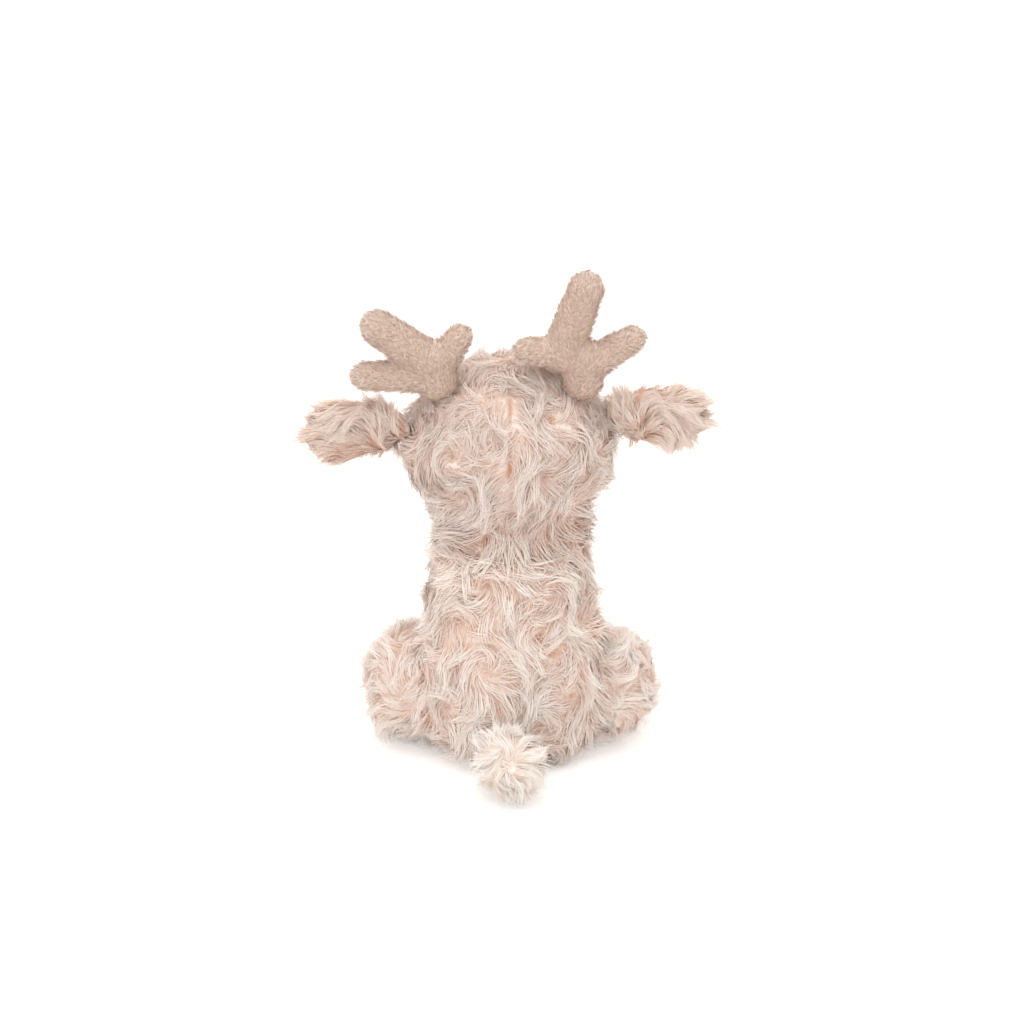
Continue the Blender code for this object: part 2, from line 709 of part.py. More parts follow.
class Ear:
    """A fur ear back with a scooped front, and the velour lining sewn into the scoop."""

    def __init__(self, toy, head, side):
        self.toy = toy
        self.side = side
        self.name = SIDE_NAMES[side]
        height = head.middle.z + (EAR_HEIGHT_LEFT if side == LEFT else EAR_HEIGHT_RIGHT)
        surface = Vector((side * head.side_x(EAR_BACK, height), head.middle.y + EAR_BACK, height))
        self.root = surface + head.normal(surface) * EAR_PROUD
        droop = math.radians(EAR_DROOP)
        self.out = Vector((side * math.cos(droop), 0, -math.sin(droop)))

    def rings(self, inset=0.0):
        """The cross-sections from the root to the tip, about the root."""
        rings = [Ring(-self.out * (EAR_ROOT_RADIUS - inset), 0, 0)]
        for angle in EAR_ROOT_ANGLES:
            turn = math.radians(angle)
            half = (EAR_ROOT_RADIUS - inset) * math.cos(turn)
            rings.append(Ring(self.out * ((EAR_ROOT_RADIUS - inset) * math.sin(turn)), half, half))
        for along, width, thickness in zip(EAR_LENGTH_SHARES, EAR_WIDTH_SHARES, EAR_THICKNESS_SHARES):
            middle = self.out * ((EAR_LENGTH - inset) * along)
            half_thickness = EAR_HALF_THICKNESS * thickness - inset
            rings.append(Ring(middle, half_thickness, EAR_HALF_WIDTH * width - inset))
        rings.append(Ring(self.out * (EAR_LENGTH - inset), 0, 0))
        return rings

    def form(self, name, inset=0.0):
        """The solid ear about its root."""
        right = Vector((0, self.side, 0))
        return loft_mesh(name, self.rings(inset), right, self.out.cross(right), EAR_SIDES)

    def scoop(self, name, radius):
        """A ball in front of the ear, whose back is the hollow of the ear."""
        reach = EAR_SCOOP_RADIUS + EAR_HALF_THICKNESS - EAR_SCOOP_DEPTH
        place = self.root + self.out * (EAR_LENGTH * EAR_SCOOP_SHARE) - Vector((0, reach, 0))
        mesh = ball_mesh(name, (radius, radius, radius), EAR_SCOOP_SEGMENTS)
        return self.toy.cutter(name, mesh, place, Vector((0, 1, 0)))

    def build(self, pivot):
        """Builds the ear back and its lining on the ear's pivot."""
        toy = self.toy
        name = self.name
        back = toy.part(f"ear_back_{name}", self.form(f"ear_back_{name}"), toy.materials.fur, pivot)
        combine(back, self.scoop(f"ear_scoop_{name}", EAR_SCOOP_RADIUS))
        mesh = self.form(f"ear_lining_{name}", EAR_LINING_INSET)
        lining = toy.part(f"ear_lining_{name}", mesh, toy.materials.lining, pivot)
        outside = EAR_SCOOP_RADIUS - SEWN_GAP
        combine(lining, self.scoop(f"lining_back_{name}", outside), "INTERSECT")
        combine(lining, self.scoop(f"lining_front_{name}", outside - VELOUR_THICKNESS))


class Antler:
    """A stuffed velour antler: a palm that carries a main, an inner and an outer tine."""

    def __init__(self, toy, head, side):
        self.toy = toy
        self.side = side
        self.name = SIDE_NAMES[side]
        crown = Vector((side * ANTLER_OUT, head.middle.y + ANTLER_BACK, head.top_z(ANTLER_OUT, ANTLER_BACK)))
        self.inwards = -head.normal(crown)
        self.root = crown - self.inwards * ANTLER_PROUD
        self.turn = Matrix.Rotation(-math.radians(ANTLER_TILT), 3, "X")
        if side == LEFT:
            self.palm = self.at(LEFT_PALM)
            inner = (LEFT_INNER_START, LEFT_INNER_TINE)
            outer = (LEFT_OUTER_START, LEFT_OUTER_TINE)
            main = (LEFT_MAIN_START, LEFT_MAIN_TINE)
        else:
            self.palm = self.at(RIGHT_PALM)
            inner = (RIGHT_INNER_START, RIGHT_INNER_TINE)
            outer = (RIGHT_OUTER_START, RIGHT_OUTER_TINE)
            main = (RIGHT_MAIN_START, RIGHT_MAIN_TINE)
        self.tines = [
            ("main", self.at(main[0]), self.at(main[1]), PALM_RADIUS, MAIN_TINE_RADIUS),
            ("inner", self.at(inner[0]), self.at(inner[1]), INNER_TINE_BASE_RADIUS, INNER_TINE_RADIUS),
            ("outer", self.at(outer[0]), self.at(outer[1]), OUTER_TINE_BASE_RADIUS, OUTER_TINE_RADIUS),
        ]

    def at(self, place):
        """A point of the antler's own plane, in the world."""
        out, up = place
        return self.root + self.turn @ Vector((self.side * out, 0, up))

    def add_tines(self, item, label, inset):
        """Joins the three tines to a palm."""
        sides = TINE_INNER_SIDES if inset else TINE_SIDES
        for kind, start, end, base_radius, tip_radius in self.tines:
            along = end - start
            profile = pod_profile(base_radius - inset, tip_radius - inset, along.length)
            name = f"{kind}_{label}_{self.name}"
            tool = self.toy.cutter(name, turned_mesh(name, profile, sides), start, along)
            combine(item, tool, "UNION")

    def palm_mesh(self, name, inset):
        """The palm's mesh, with its root ball at the origin."""
        root, tip = ANTLER_ROOT_RADIUS - inset, PALM_RADIUS - inset
        sides = ANTLER_INNER_SIDES if inset else ANTLER_SIDES
        return turned_mesh(name, pod_profile(root, tip, (self.palm - self.root).length), sides)

    def build(self, pivot):
        """Builds the antler's skin and stuffing on its pivot."""
        toy = self.toy
        along = self.palm - self.root
        name = f"antler_skin_{self.name}"
        skin = toy.part(name, self.palm_mesh(name, 0), toy.materials.velour, pivot, self.root, along)
        self.add_tines(skin, "tine", 0)
        name = f"antler_hollow_{self.name}"
        hollow = toy.cutter(name, self.palm_mesh(name, VELOUR_THICKNESS), self.root, along)
        self.add_tines(hollow, "tine_hollow", VELOUR_THICKNESS)
        combine(skin, hollow)
        name = f"antler_opening_{self.name}"
        opening = rod_mesh(name, ANTLER_OPENING_RADIUS, 0, ANTLER_ROOT_RADIUS + CUT_OVERRUN, TINE_SIDES)
        combine(skin, toy.cutter(name, opening, self.root, self.inwards))
        name = f"antler_stuffing_{self.name}"
        inset = VELOUR_THICKNESS + ANTLER_LOOSENESS
        stuffing = toy.part(name, self.palm_mesh(name, inset), toy.materials.stuffing, pivot, self.root, along)
        self.add_tines(stuffing, "tine_stuffing", inset)


@dataclass
class Limb:
    """A stuffed leg: a fur sock, a velour hoof on its end, and the stuffing in both."""

    toy: Toy
    kind: str
    hoof: str
    side: int
    root: Vector
    along: Vector
    root_radius: float
    tip_radius: float
    length: float
    swell: float
    hoof_length: float
    fur: float
    sides: int

    def profile(self, inset):
        """The leg's outline, taken in by an inset."""
        root, tip = self.root_radius - inset, self.tip_radius - inset
        return pod_profile(root, tip, self.length, self.swell, LIMB_BLUNT_SHARE)

    def seat(self):
        """The grown leg that dents the torso: the leg turns in it, and swings out of it."""
        flats = math.cos(math.pi / self.sides) * math.cos(math.radians(ROUND_STEP / 2))
        growth = (self.root_radius + SWING_GAP) / flats - self.root_radius
        name = f"{self.kind}_seat_{SIDE_NAMES[self.side]}"
        root = self.root_radius + growth
        tip = self.tip_radius + SEWN_GAP
        profile = pod_profile(root, tip, self.length, self.swell, LIMB_BLUNT_SHARE)
        return self.toy.cutter(name, turned_mesh(name, profile, self.sides), self.root, self.along)

    def build(self, pivot, cuts=()):
        """Builds the sock, the hoof and the stuffing, cut where they meet other things."""
        toy = self.toy
        name = SIDE_NAMES[self.side]
        kind = self.kind
        seam = self.length + self.tip_radius * LIMB_BLUNT_SHARE - self.hoof_length
        outer = profile_part(self.profile(0), high=seam)
        inner = profile_part(self.profile(self.fur), high=seam)
        mesh = turned_mesh(f"{kind}_skin_{name}", joined(outer, inner), self.sides)
        pieces = [toy.part(f"{kind}_skin_{name}", mesh, toy.materials.fur, pivot, self.root, self.along)]
        top = seam + SEWN_GAP
        outer = profile_part(self.profile(0), low=top)
        inner = profile_part(self.profile(VELOUR_THICKNESS), low=top)
        mesh = turned_mesh(f"{self.hoof}_{name}", outer + inner[::-1], self.sides)
        pieces.append(toy.part(f"{self.hoof}_{name}", mesh, toy.materials.velour, pivot, self.root, self.along))
        cap = profile_part(self.profile(VELOUR_THICKNESS + SEWN_GAP), low=top)
        rest = profile_part(self.profile(self.fur + SEWN_GAP), high=top)
        mesh = turned_mesh(f"{kind}_stuffing_{name}", cap + rest, self.sides)
        pieces.append(
            toy.part(f"{kind}_stuffing_{name}", mesh, toy.materials.stuffing, pivot, self.root, self.along)
        )
        for piece in pieces:
            for cut in cuts:
                combine(piece, cut)


def make_foreleg(toy, torso, side):
    """Sets out a foreleg on the chest, hanging forwards over the belly."""
    height = TORSO_HEIGHT * SHOULDER_HEIGHT_SHARE
    front = torso.surface_y(SHOULDER_OUT, height, -1)
    root = Vector((side * SHOULDER_OUT, front - SHOULDER_PROUD, height))
    forward, inward = math.radians(FORELEG_FORWARD), math.radians(FORELEG_INWARD)
    along = Vector((-side * math.sin(inward), -math.sin(forward), -math.cos(forward))).normalized()
    sizes = (FORELEG_ROOT_RADIUS, FORELEG_TIP_RADIUS, FORELEG_LENGTH, FORELEG_SWELL, FORELEG_HOOF_LENGTH)
    return Limb(toy, "foreleg", "front_hoof", side, root, along, *sizes, FORELEG_SKIN, FORELEG_SIDES)


def make_hind_leg(toy, side):
    """Sets out a hind leg at the hip, lying forwards on the ground with a little splay."""
    hip_x = TORSO_WIDTH / 2 - HIP_SINK
    root = Vector((side * hip_x, TORSO_Y - HIP_FORWARD, HIND_ROOT_RADIUS - FLAT_DEPTH))
    slope = math.asin((HIND_ROOT_RADIUS - HIND_TIP_RADIUS) / HIND_LENGTH)
    splay = math.radians(HIND_SPLAY)
    level = Vector((side * math.sin(splay), -math.cos(splay), 0))
    along = level * math.cos(slope) - Vector((0, 0, math.sin(slope)))
    sizes = (HIND_ROOT_RADIUS, HIND_TIP_RADIUS, HIND_LENGTH, HIND_SWELL, HIND_HOOF_LENGTH)
    return Limb(toy, "hind_leg", "hind_hoof", side, root, along, *sizes, FUR_THICKNESS, HIND_SIDES)


def build_tail(toy, root, pivot):
    """Builds the tail's tuft of long pile, and the ball of stuffing that it is drawn over."""
    mouth_angle = -math.degrees(math.acos(TAIL_CHANNEL_RADIUS / TAIL_ROOT_RADIUS))
    outer = pod_profile(TAIL_ROOT_RADIUS, TAIL_RADIUS, TAIL_LENGTH, root_angle=mouth_angle)
    skin_profile = outer + ball_on_stem(TAIL_RADIUS - FUR_THICKNESS, TAIL_CHANNEL_RADIUS)[::-1]
    along = Vector((0, 1, 0))
    mesh = turned_mesh("tail_skin", skin_profile, TAIL_SIDES)
    toy.part("tail_skin", mesh, toy.materials.fur, pivot, root, along)
    filling = ball_on_stem(TAIL_RADIUS - FUR_THICKNESS - SEWN_GAP, TAIL_CHANNEL_RADIUS - SEWN_GAP)
    filling.append((0, filling[-1][1]))
    mesh = turned_mesh("tail_stuffing", filling, TAIL_SIDES)
    toy.part("tail_stuffing", mesh, toy.materials.stuffing, pivot, root, along)


def ball_on_stem(radius, stem_radius):
    """The outline of the tail's filling: a ball with a stem that reaches into the root."""
    low = -math.degrees(math.acos(stem_radius / radius))
    points = arc(radius, TAIL_LENGTH, 90, low)
    points[0] = (0, points[0][1])
    points.append((stem_radius, -math.sqrt(TAIL_ROOT_RADIUS**2 - TAIL_CHANNEL_RADIUS**2)))
    return points


def seat(toy, name, root, radius, segments):
    """A ball that cuts the seat of a root which turns in it; its flats keep clear of the root."""
    reach = (radius + SWING_GAP) / math.cos(math.pi / segments) ** 2
    return toy.cutter(f"{name}_seat", ball_mesh(f"{name}_seat", (reach, reach, reach), segments), root)


def main():
    """Builds the whole toy."""
    toy = Toy()
    torso = Torso(toy)
    head = Head(toy, torso.neck)
    ground = toy.cutter("ground", block_mesh("ground", GROUND_SIZE, GROUND_DEPTH))
    turning = toy.pivot("neck_turn_pivot", torso.neck)
    nodding = toy.pivot("neck_nod_pivot", torso.neck)
    torso_cuts = [seat(toy, "neck", torso.neck, NECK_RADIUS, NECK_SEAT_SEGMENTS)]
    head_cuts = []
    for side in (LEFT, RIGHT):
        name = SIDE_NAMES[side]
        foreleg = make_foreleg(toy, torso, side)
        hind_leg = make_hind_leg(toy, side)
        ear = Ear(toy, head, side)
        antler = Antler(toy, head, side)
        foreleg.build(toy.pivot(f"shoulder_{name}_pivot", foreleg.root))
        hind_leg.build(toy.pivot(f"hip_{name}_pivot", hind_leg.root), [ground])
        ear.build(toy.pivot(f"ear_{name}_pivot", ear.root))
        antler.build(toy.pivot(f"antler_{name}_pivot", antler.root))
        torso_cuts += [hind_leg.seat(), foreleg.seat()]
        head_cuts.append(seat(toy, f"ear_{name}", ear.root, EAR_ROOT_RADIUS, EAR_SEAT_SEGMENTS))
        head_cuts.append(seat(toy, f"antler_{name}", antler.root, ANTLER_ROOT_RADIUS, ANTLER_SEAT_SEGMENTS))
    tail_root = Vector((0, torso.surface_y(0, TAIL_HEIGHT, 1) + TAIL_PROUD, TAIL_HEIGHT))
    build_tail(toy, tail_root, toy.pivot("tail_pivot", tail_root))
    torso_cuts.append(seat(toy, "tail", tail_root, TAIL_ROOT_RADIUS, TAIL_SEAT_SEGMENTS))
    torso.build(ground, torso_cuts)
    head.build(nodding, turning, head_cuts)


main()
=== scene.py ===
"""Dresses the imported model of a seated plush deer: its skins, pile, face, stage, lights and camera.

Every length is in metres and every place is in the model's own frame: +Z is up, the deer faces -Y
and its left side is at +X. Each skin is a padded form under the pile. The pile itself is grown by
geometry nodes from attributes that say which way it is combed at each point of the skin.
"""

import logging
import math
from dataclasses import dataclass
from enum import Enum
from typing import Any, Callable

import bmesh
import bpy
import numpy as np
from mathutils import Matrix, Vector
from mathutils.kdtree import KDTree


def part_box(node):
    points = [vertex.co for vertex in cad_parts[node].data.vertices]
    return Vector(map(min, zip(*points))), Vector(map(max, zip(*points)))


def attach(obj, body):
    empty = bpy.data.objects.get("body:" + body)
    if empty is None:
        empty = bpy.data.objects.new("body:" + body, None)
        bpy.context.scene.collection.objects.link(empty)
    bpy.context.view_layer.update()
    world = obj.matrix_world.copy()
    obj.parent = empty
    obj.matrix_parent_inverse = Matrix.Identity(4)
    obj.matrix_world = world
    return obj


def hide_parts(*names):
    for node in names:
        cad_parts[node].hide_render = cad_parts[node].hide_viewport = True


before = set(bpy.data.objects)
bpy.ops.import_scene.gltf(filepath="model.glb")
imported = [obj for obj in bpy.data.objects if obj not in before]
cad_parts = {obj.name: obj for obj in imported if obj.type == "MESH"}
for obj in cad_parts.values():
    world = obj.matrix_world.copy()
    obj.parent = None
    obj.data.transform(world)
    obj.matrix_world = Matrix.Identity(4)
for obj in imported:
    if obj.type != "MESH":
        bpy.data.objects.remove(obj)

LOG = logging.getLogger("plush_deer")
PIECE_LIMIT = 196000
GROUND_GAPS = {"padding": 0.0020, "pressed": 0.0018, "cap": 0.0008}
VECTOR = "FLOAT_VECTOR"
Socket = bpy.types.NodeSocket
Materials = dict[str, bpy.types.Material]


class Side(Enum):
    """The side of the toy that a piece is on, as the sign of its X."""

    LEFT = 1
    RIGHT = -1

    @property
    def label(self) -> str:
        """The side's name, as the model's nodes have it."""
        return self.name.lower()


def linear_colour(colour: str) -> tuple[float, float, float, float]:
    """Turns an sRGB hex colour to linear red, green, blue and alpha.

    Args:
        colour: Six hex digits.

    Returns:
        The colour as Blender's sockets take it.
    """
    values = [int(colour[i : i + 2], 16) / 255 for i in (0, 2, 4)]
    linear = [v / 12.92 if v <= 0.04045 else ((v + 0.055) / 1.055) ** 2.4 for v in values]
    return (*linear, 1.0)


def add_node(
    tree: bpy.types.NodeTree,
    kind: str,
    settings: dict[str, Any] | None = None,
    inputs: dict[Any, Any] | None = None,
) -> bpy.types.Node:
    """Adds a node with its settings and links.

    Args:
        tree: The node tree that the node goes into.
        kind: The node's type.
        settings: Properties of the node.
        inputs: A value, or another node's output socket, for each input by name or number.

    Returns:
        The new node.
    """
    node = tree.nodes.new(kind)
    for name, value in (settings or {}).items():
        setattr(node, name, value)
    for key, value in (inputs or {}).items():
        if isinstance(value, Socket):
            tree.links.new(value, node.inputs[key])
        else:
            node.inputs[key].default_value = value
    return node


def open_sockets(tree: bpy.types.NodeTree, kinds: dict[str, str]) -> dict[str, str]:
    """Gives a geometry node tree its sockets.

    Args:
        tree: The tree.
        kinds: The kind of each input besides the geometry, by name.

    Returns:
        The inputs' identifiers by name.
    """
    face = tree.interface
    face.new_socket("Geometry", in_out="INPUT", socket_type="NodeSocketGeometry")
    sockets = {
        name: face.new_socket(name, in_out="INPUT", socket_type=f"NodeSocket{kind}").identifier
        for name, kind in kinds.items()
    }
    face.new_socket("Geometry", in_out="OUTPUT", socket_type="NodeSocketGeometry")
    return sockets


def close_tree(tree: bpy.types.NodeTree, mesh: Socket, material: Socket, smooth: bool) -> None:
    """Leads a mesh to its tree's output, shaded and with its material.

    Args:
        tree: The tree.
        mesh: The mesh.
        material: Its material.
        smooth: Whether it is shaded smooth.
    """
    inputs = {"Geometry": mesh, "Shade Smooth": smooth}
    mesh = add_node(tree, "GeometryNodeSetShadeSmooth", None, inputs).outputs[0]
    mesh = add_node(tree, "GeometryNodeRealizeInstances", None, {"Geometry": mesh}).outputs[0]
    inputs = {"Geometry": mesh, "Material": material}
    mesh = add_node(tree, "GeometryNodeSetMaterial", None, inputs).outputs[0]
    tree.links.new(mesh, add_node(tree, "NodeGroupOutput").inputs[0])


def add_object(name: str, data: Any) -> bpy.types.Object:
    """Puts an object with its data into the scene.

    Args:
        name: The object's name.
        data: Its mesh, lamp or camera.

    Returns:
        The object.
    """
    piece = bpy.data.objects.new(name, data)
    bpy.context.scene.collection.objects.link(piece)
    return piece


def declare(piece: bpy.types.Object, body: str, slot: str, *nodes: str, fill: float | None = None) -> None:
    """Attaches a piece to its body and hides the nodes that it stands for.

    Args:
        piece: The piece.
        body: The body that it rides on.
        slot: The record's material slot; not used.
        nodes: The nodes that it stands for.
        fill: How firmly it is stuffed, for a padded piece; not used.
    """
    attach(piece, body)
    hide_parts(*nodes)


class Shader:
    """A material being made: its Principled shader and the nodes that feed it."""

    def __init__(self, name: str) -> None:
        """Makes the material with its Principled shader.

        Args:
            name: The material's name.
        """
        self.material = bpy.data.materials.new(name)
        self.material.use_nodes = True
        self.tree = self.material.node_tree
        self.principled = self.tree.nodes["Principled BSDF"]
        self.place = add_node(self.tree, "ShaderNodeTexCoord").outputs["Object"]

    def set(self, **values: Any) -> bpy.types.Material:
        """Sets the shader's inputs.

        Args:
            values: A number, a hex colour or a socket for each input, with _ for a space in its name.

        Returns:
            The material.
        """
        for key, value in values.items():
            target = self.principled.inputs[key.replace("_", " ")]
            if isinstance(value, Socket):
                self.tree.links.new(value, target)
            else:
                target.default_value = linear_colour(value) if isinstance(value, str) else value
        return self.material

    def attribute(self, name: str) -> Socket:
        """Reads an attribute of the piece as a number."""
        return add_node(self.tree, "ShaderNodeAttribute", {"attribute_name": name}).outputs["Fac"]

    def noise(self, scale: float, detail: float = 2.0) -> Socket:
        """Noise of a scale and a detail, fixed to the piece."""
        inputs = {"Vector": self.place, "Scale": scale, "Detail": detail}
        return add_node(self.tree, "ShaderNodeTexNoise", inputs=inputs).outputs["Fac"]

    def scaled_sum(self, first: Any, factor: float, second: Any, clamp: bool = False) -> Socket:
        """The first value times a factor, plus the second."""
        settings = {"operation": "MULTIPLY_ADD", "use_clamp": clamp}
        return add_node(self.tree, "ShaderNodeMath", settings, {0: first, 1: factor, 2: second}).outputs[0]

    def mapped(self, value: Any, **ends: float) -> Socket:
        """Maps a value from one range to another, with the ends by name and _ for a space."""
        inputs = {"Value": value} | {key.replace("_", " "): end for key, end in ends.items()}
        return add_node(self.tree, "ShaderNodeMapRange", inputs=inputs).outputs[0]

    def ramp(self, value: Any, *stops: tuple[float, str]) -> Socket:
        """Turns a value into a colour.

        Args:
            value: The value's socket.
            stops: The place and the sRGB hex colour of each stop.

        Returns:
            The colour's socket.
        """
        node = add_node(self.tree, "ShaderNodeValToRGB", inputs={"Fac": value})
        elements = node.color_ramp.elements
        elements.remove(elements[-1])
        elements[0].position, elements[0].color = stops[0][0], linear_colour(stops[0][1])
        for place, colour in stops[1:]:
            elements.new(place).color = linear_colour(colour)
        return node.outputs["Color"]

    def bump(self, height: Any, strength: float, distance: float) -> Socket:
        """Fine relief from a height, with its strength and its depth in metres."""
        inputs = {"Strength": strength, "Distance": distance, "Height": height}
        return add_node(self.tree, "ShaderNodeBump", inputs=inputs).outputs["Normal"]


@dataclass(frozen=True)
class PileFinish:
    """Polyester pile: extruded staple, dyed pale, darker and pinker where it leaves the backing, with painted
    shade in its tint.
    """

    name: str
    stops: tuple[tuple[float, str], ...]
    warm: str
    cool: str
    roughness: float = 0.62
    sheen: float = 0.2
    lustre: str = "FEF5EF"
    patch_size: float = 0.014
    patch_share: float = 0.35
    tones: tuple[float, float] = (0.15, 0.95)

    def make(self) -> bpy.types.Material:
        """Makes the material, which reads how far along its strand each point is, and its tone with painted shade.

        Returns:
            The material.
        """
        shader = Shader(self.name)
        along = shader.ramp(shader.attribute("pile_t"), *self.stops)
        patches = shader.noise(1 / self.patch_size, 1.0)
        mixed = shader.scaled_sum(patches, self.patch_share, shader.attribute("pile_tone_and_shade"))
        share = shader.mapped(mixed, From_Min=self.tones[0], From_Max=self.tones[1])
        # warm is the tint of the darker random tones and of painted shade in the hollows, at lock edges and on
        # lower locks; cool is that of the pale tones and the tops.
        tint = shader.ramp(share, (0.0, self.warm), (1.0, self.cool))
        settings = {"data_type": "RGBA", "blend_type": "MULTIPLY"}
        colour = add_node(shader.tree, "ShaderNodeMix", settings, {0: 1.0, 6: along, 7: tint}).outputs[2]
        return shader.set(
            Base_Color=colour,
            Roughness=self.roughness,
            Specular_IOR_Level=0.25,
            Sheen_Weight=self.sheen,
            Sheen_Roughness=0.5,
            Sheen_Tint=self.lustre,
        )


@dataclass(frozen=True)
class BackingFinish:
    """The knitted backing under the pile: rows of small loops, tinted by the roots that show, with painted shade
    where the pile lies deep.
    """

    name: str
    colour: str
    hollow: str
    deep: str
    loop_size: float = 0.0009
    blotches: float = 260.0
    roughness: float = 0.9

    def make(self) -> bpy.types.Material:
        """Makes the material, darker where the pile parts, as painted shade.

        Returns:
            The material.
        """
        shader = Shader(self.name)
        # Random blotches, plus painted shade from deep; hollow and deep are the colours of that painted shade.
        share = shader.scaled_sum(shader.noise(self.blotches), 0.3, shader.attribute("deep"), clamp=True)
        colour = shader.ramp(share, (0.15, self.colour), (0.5, self.hollow), (1.0, self.deep))
        inputs = {"Vector": shader.place, "Scale": 1 / self.loop_size}
        loops = add_node(shader.tree, "ShaderNodeTexVoronoi", inputs=inputs).outputs["Distance"]
        relief = shader.bump(loops, 0.5, 0.0003)
        return shader.set(Base_Color=colour, Normal=relief, Roughness=self.roughness, Specular_IOR_Level=0.2)


@dataclass(frozen=True)
class BeadFinish:
    """Injection-moulded black acrylic: a smooth, hard gloss."""

    name: str = "gloss_acrylic"
    colour: str = "17120F"
    smears: float = 400.0

    def make(self) -> bpy.types.Material:
        """Makes the material, with the faint smears of handling in its gloss.

        Returns:
            The material.
        """
        shader = Shader(self.name)
        gloss = shader.mapped(shader.noise(self.smears), To_Min=0.06, To_Max=0.14)
        return shader.set(Base_Color=self.colour, Roughness=gloss, Coat_Weight=0.5, Coat_Roughness=0.03)


@dataclass(frozen=True)
class ThreadFinish:
    """Spun polyester thread: two plies with a soft lustre along their twist."""

    name: str
    colour: str
    dark: str
    twists: float = 900.0
    roughness: float = 0.5

    def make(self) -> bpy.types.Material:
        """Makes the material, with the twist as bands across the thread, darker in the grooves as painted shade.

        Returns:
            The material.
        """
        shader = Shader(self.name)
        inputs = {"Vector": shader.place, "Scale": self.twists, "Distortion": 1.0}
        twist = add_node(shader.tree, "ShaderNodeTexWave", {"bands_direction": "DIAGONAL"}, inputs).outputs["Fac"]
        # dark is painted shade in the grooves between the plies.
        colour = shader.ramp(twist, (0.0, self.dark), (0.6, self.colour))
        relief = shader.bump(twist, 0.4, 0.0001)
        return shader.set(Base_Color=colour, Normal=relief, Roughness=self.roughness, Sheen_Weight=0.2)


@dataclass(frozen=True)
class PlasticFinish:
    """Moulded white polyethylene: slightly waxy."""

    name: str = "polyethylene"
    colour: str = "E9E9E6"
    grain: float = 1500.0

    def make(self) -> bpy.types.Material:
        """Makes the material, with the mould's fine texture.

        Returns:
            The material.
        """
        shader = Shader(self.name)
        relief = shader.bump(shader.noise(self.grain), 0.2, 0.0001)
        return shader.set(Base_Color=self.colour, Normal=relief, Roughness=0.45)


def make_finishes() -> dict[str, bpy.types.Material]:
    """Makes every finish of the toy once, by name.

    Returns:
        The materials by name.
    """
    short = {"roughness": 0.7, "sheen": 0.5, "patch_size": 0.005}
    finishes = (
        PileFinish(
            "curled_polyester_pile",
            ((0.0, "ECCFBF"), (0.25, "FAEBE3"), (0.5, "FEF7F2"), (0.75, "FFFBF7"), (1.0, "FFFCF9")),
            "F9E9DF",
            "FFFEFC",
        ),
        # The head's pile is the torso's fabric, painted darker as the shade that falls on the head.
        PileFinish(
            "head_shaded_polyester_pile",
            ((0.0, "E4C8B8"), (0.25, "F0E1D8"), (0.5, "F5EBE5"), (0.75, "F9F2ED"), (1.0, "FBF5F1")),
            "F6E8E0",
            "FCFBFA",
        ),
        # The ears' pile is the same fabric again, painted darker and warmer as shade.
        PileFinish(
            "ear_shaded_polyester_pile",
            ((0.0, "E4BFAB"), (0.3, "F1DACD"), (0.6, "FAEDE4"), (1.0, "FFFBF7")),
            "F7E5DA",
            "FFFDFB",
        ),
        PileFinish(
            "straight_polyester_pile",
            ((0.0, "F8E6DA"), (0.3, "FEF6F0"), (0.7, "FFFCF9"), (1.0, "FFFDFB")),
            "FDF3EC",
            "FFFEFC",
        ),
        PileFinish(
            "taupe_velour_pile", ((0.0, "C6AB99"), (0.4, "E6D2C5"), (1.0, "FEF3EB")), "E4D3C8", "FFFFFE", **short
        ),
        PileFinish(
            "ear_velour_pile", ((0.0, "DFBBA7"), (0.45, "EFD5C6"), (1.0, "FAE8DE")), "F6EAE1", "FFFCF9", **short
        ),
        BackingFinish("knitted_backing", "F4E6DD", "EDDACE", "CE9C7D"),
        BackingFinish("tail_backing", "FDF7F2", "F6E6DB", "EFD6C6"),
        BackingFinish("velour_backing", "DDC4B4", "D4B9A8", "CCAF9D"),
        BackingFinish("lining_backing", "E8CBBA", "E2C0AD", "DBB4A0"),
        BeadFinish(),
        ThreadFinish("nose_thread", "97705F", "6F4B3D"),
        ThreadFinish("sewing_thread", "E2CFC2", "C9AE9D"),
        PlasticFinish(),
    )
    return {finish.name: finish.make() for finish in finishes}


@dataclass
class PileSizes:
    """How one kind of pile grows: lengths in metres, counts as whole strands, the rest as shares."""

    strands: int
    length: float
    width: float
    lift: float
    lock_area: float = 0.000015
    clump: float = 0.82
    follow: float = 0.92
    spread: float = 0.1
    stray: float = 0.0022
    floor: float = 0.0004
    seed: int = 1


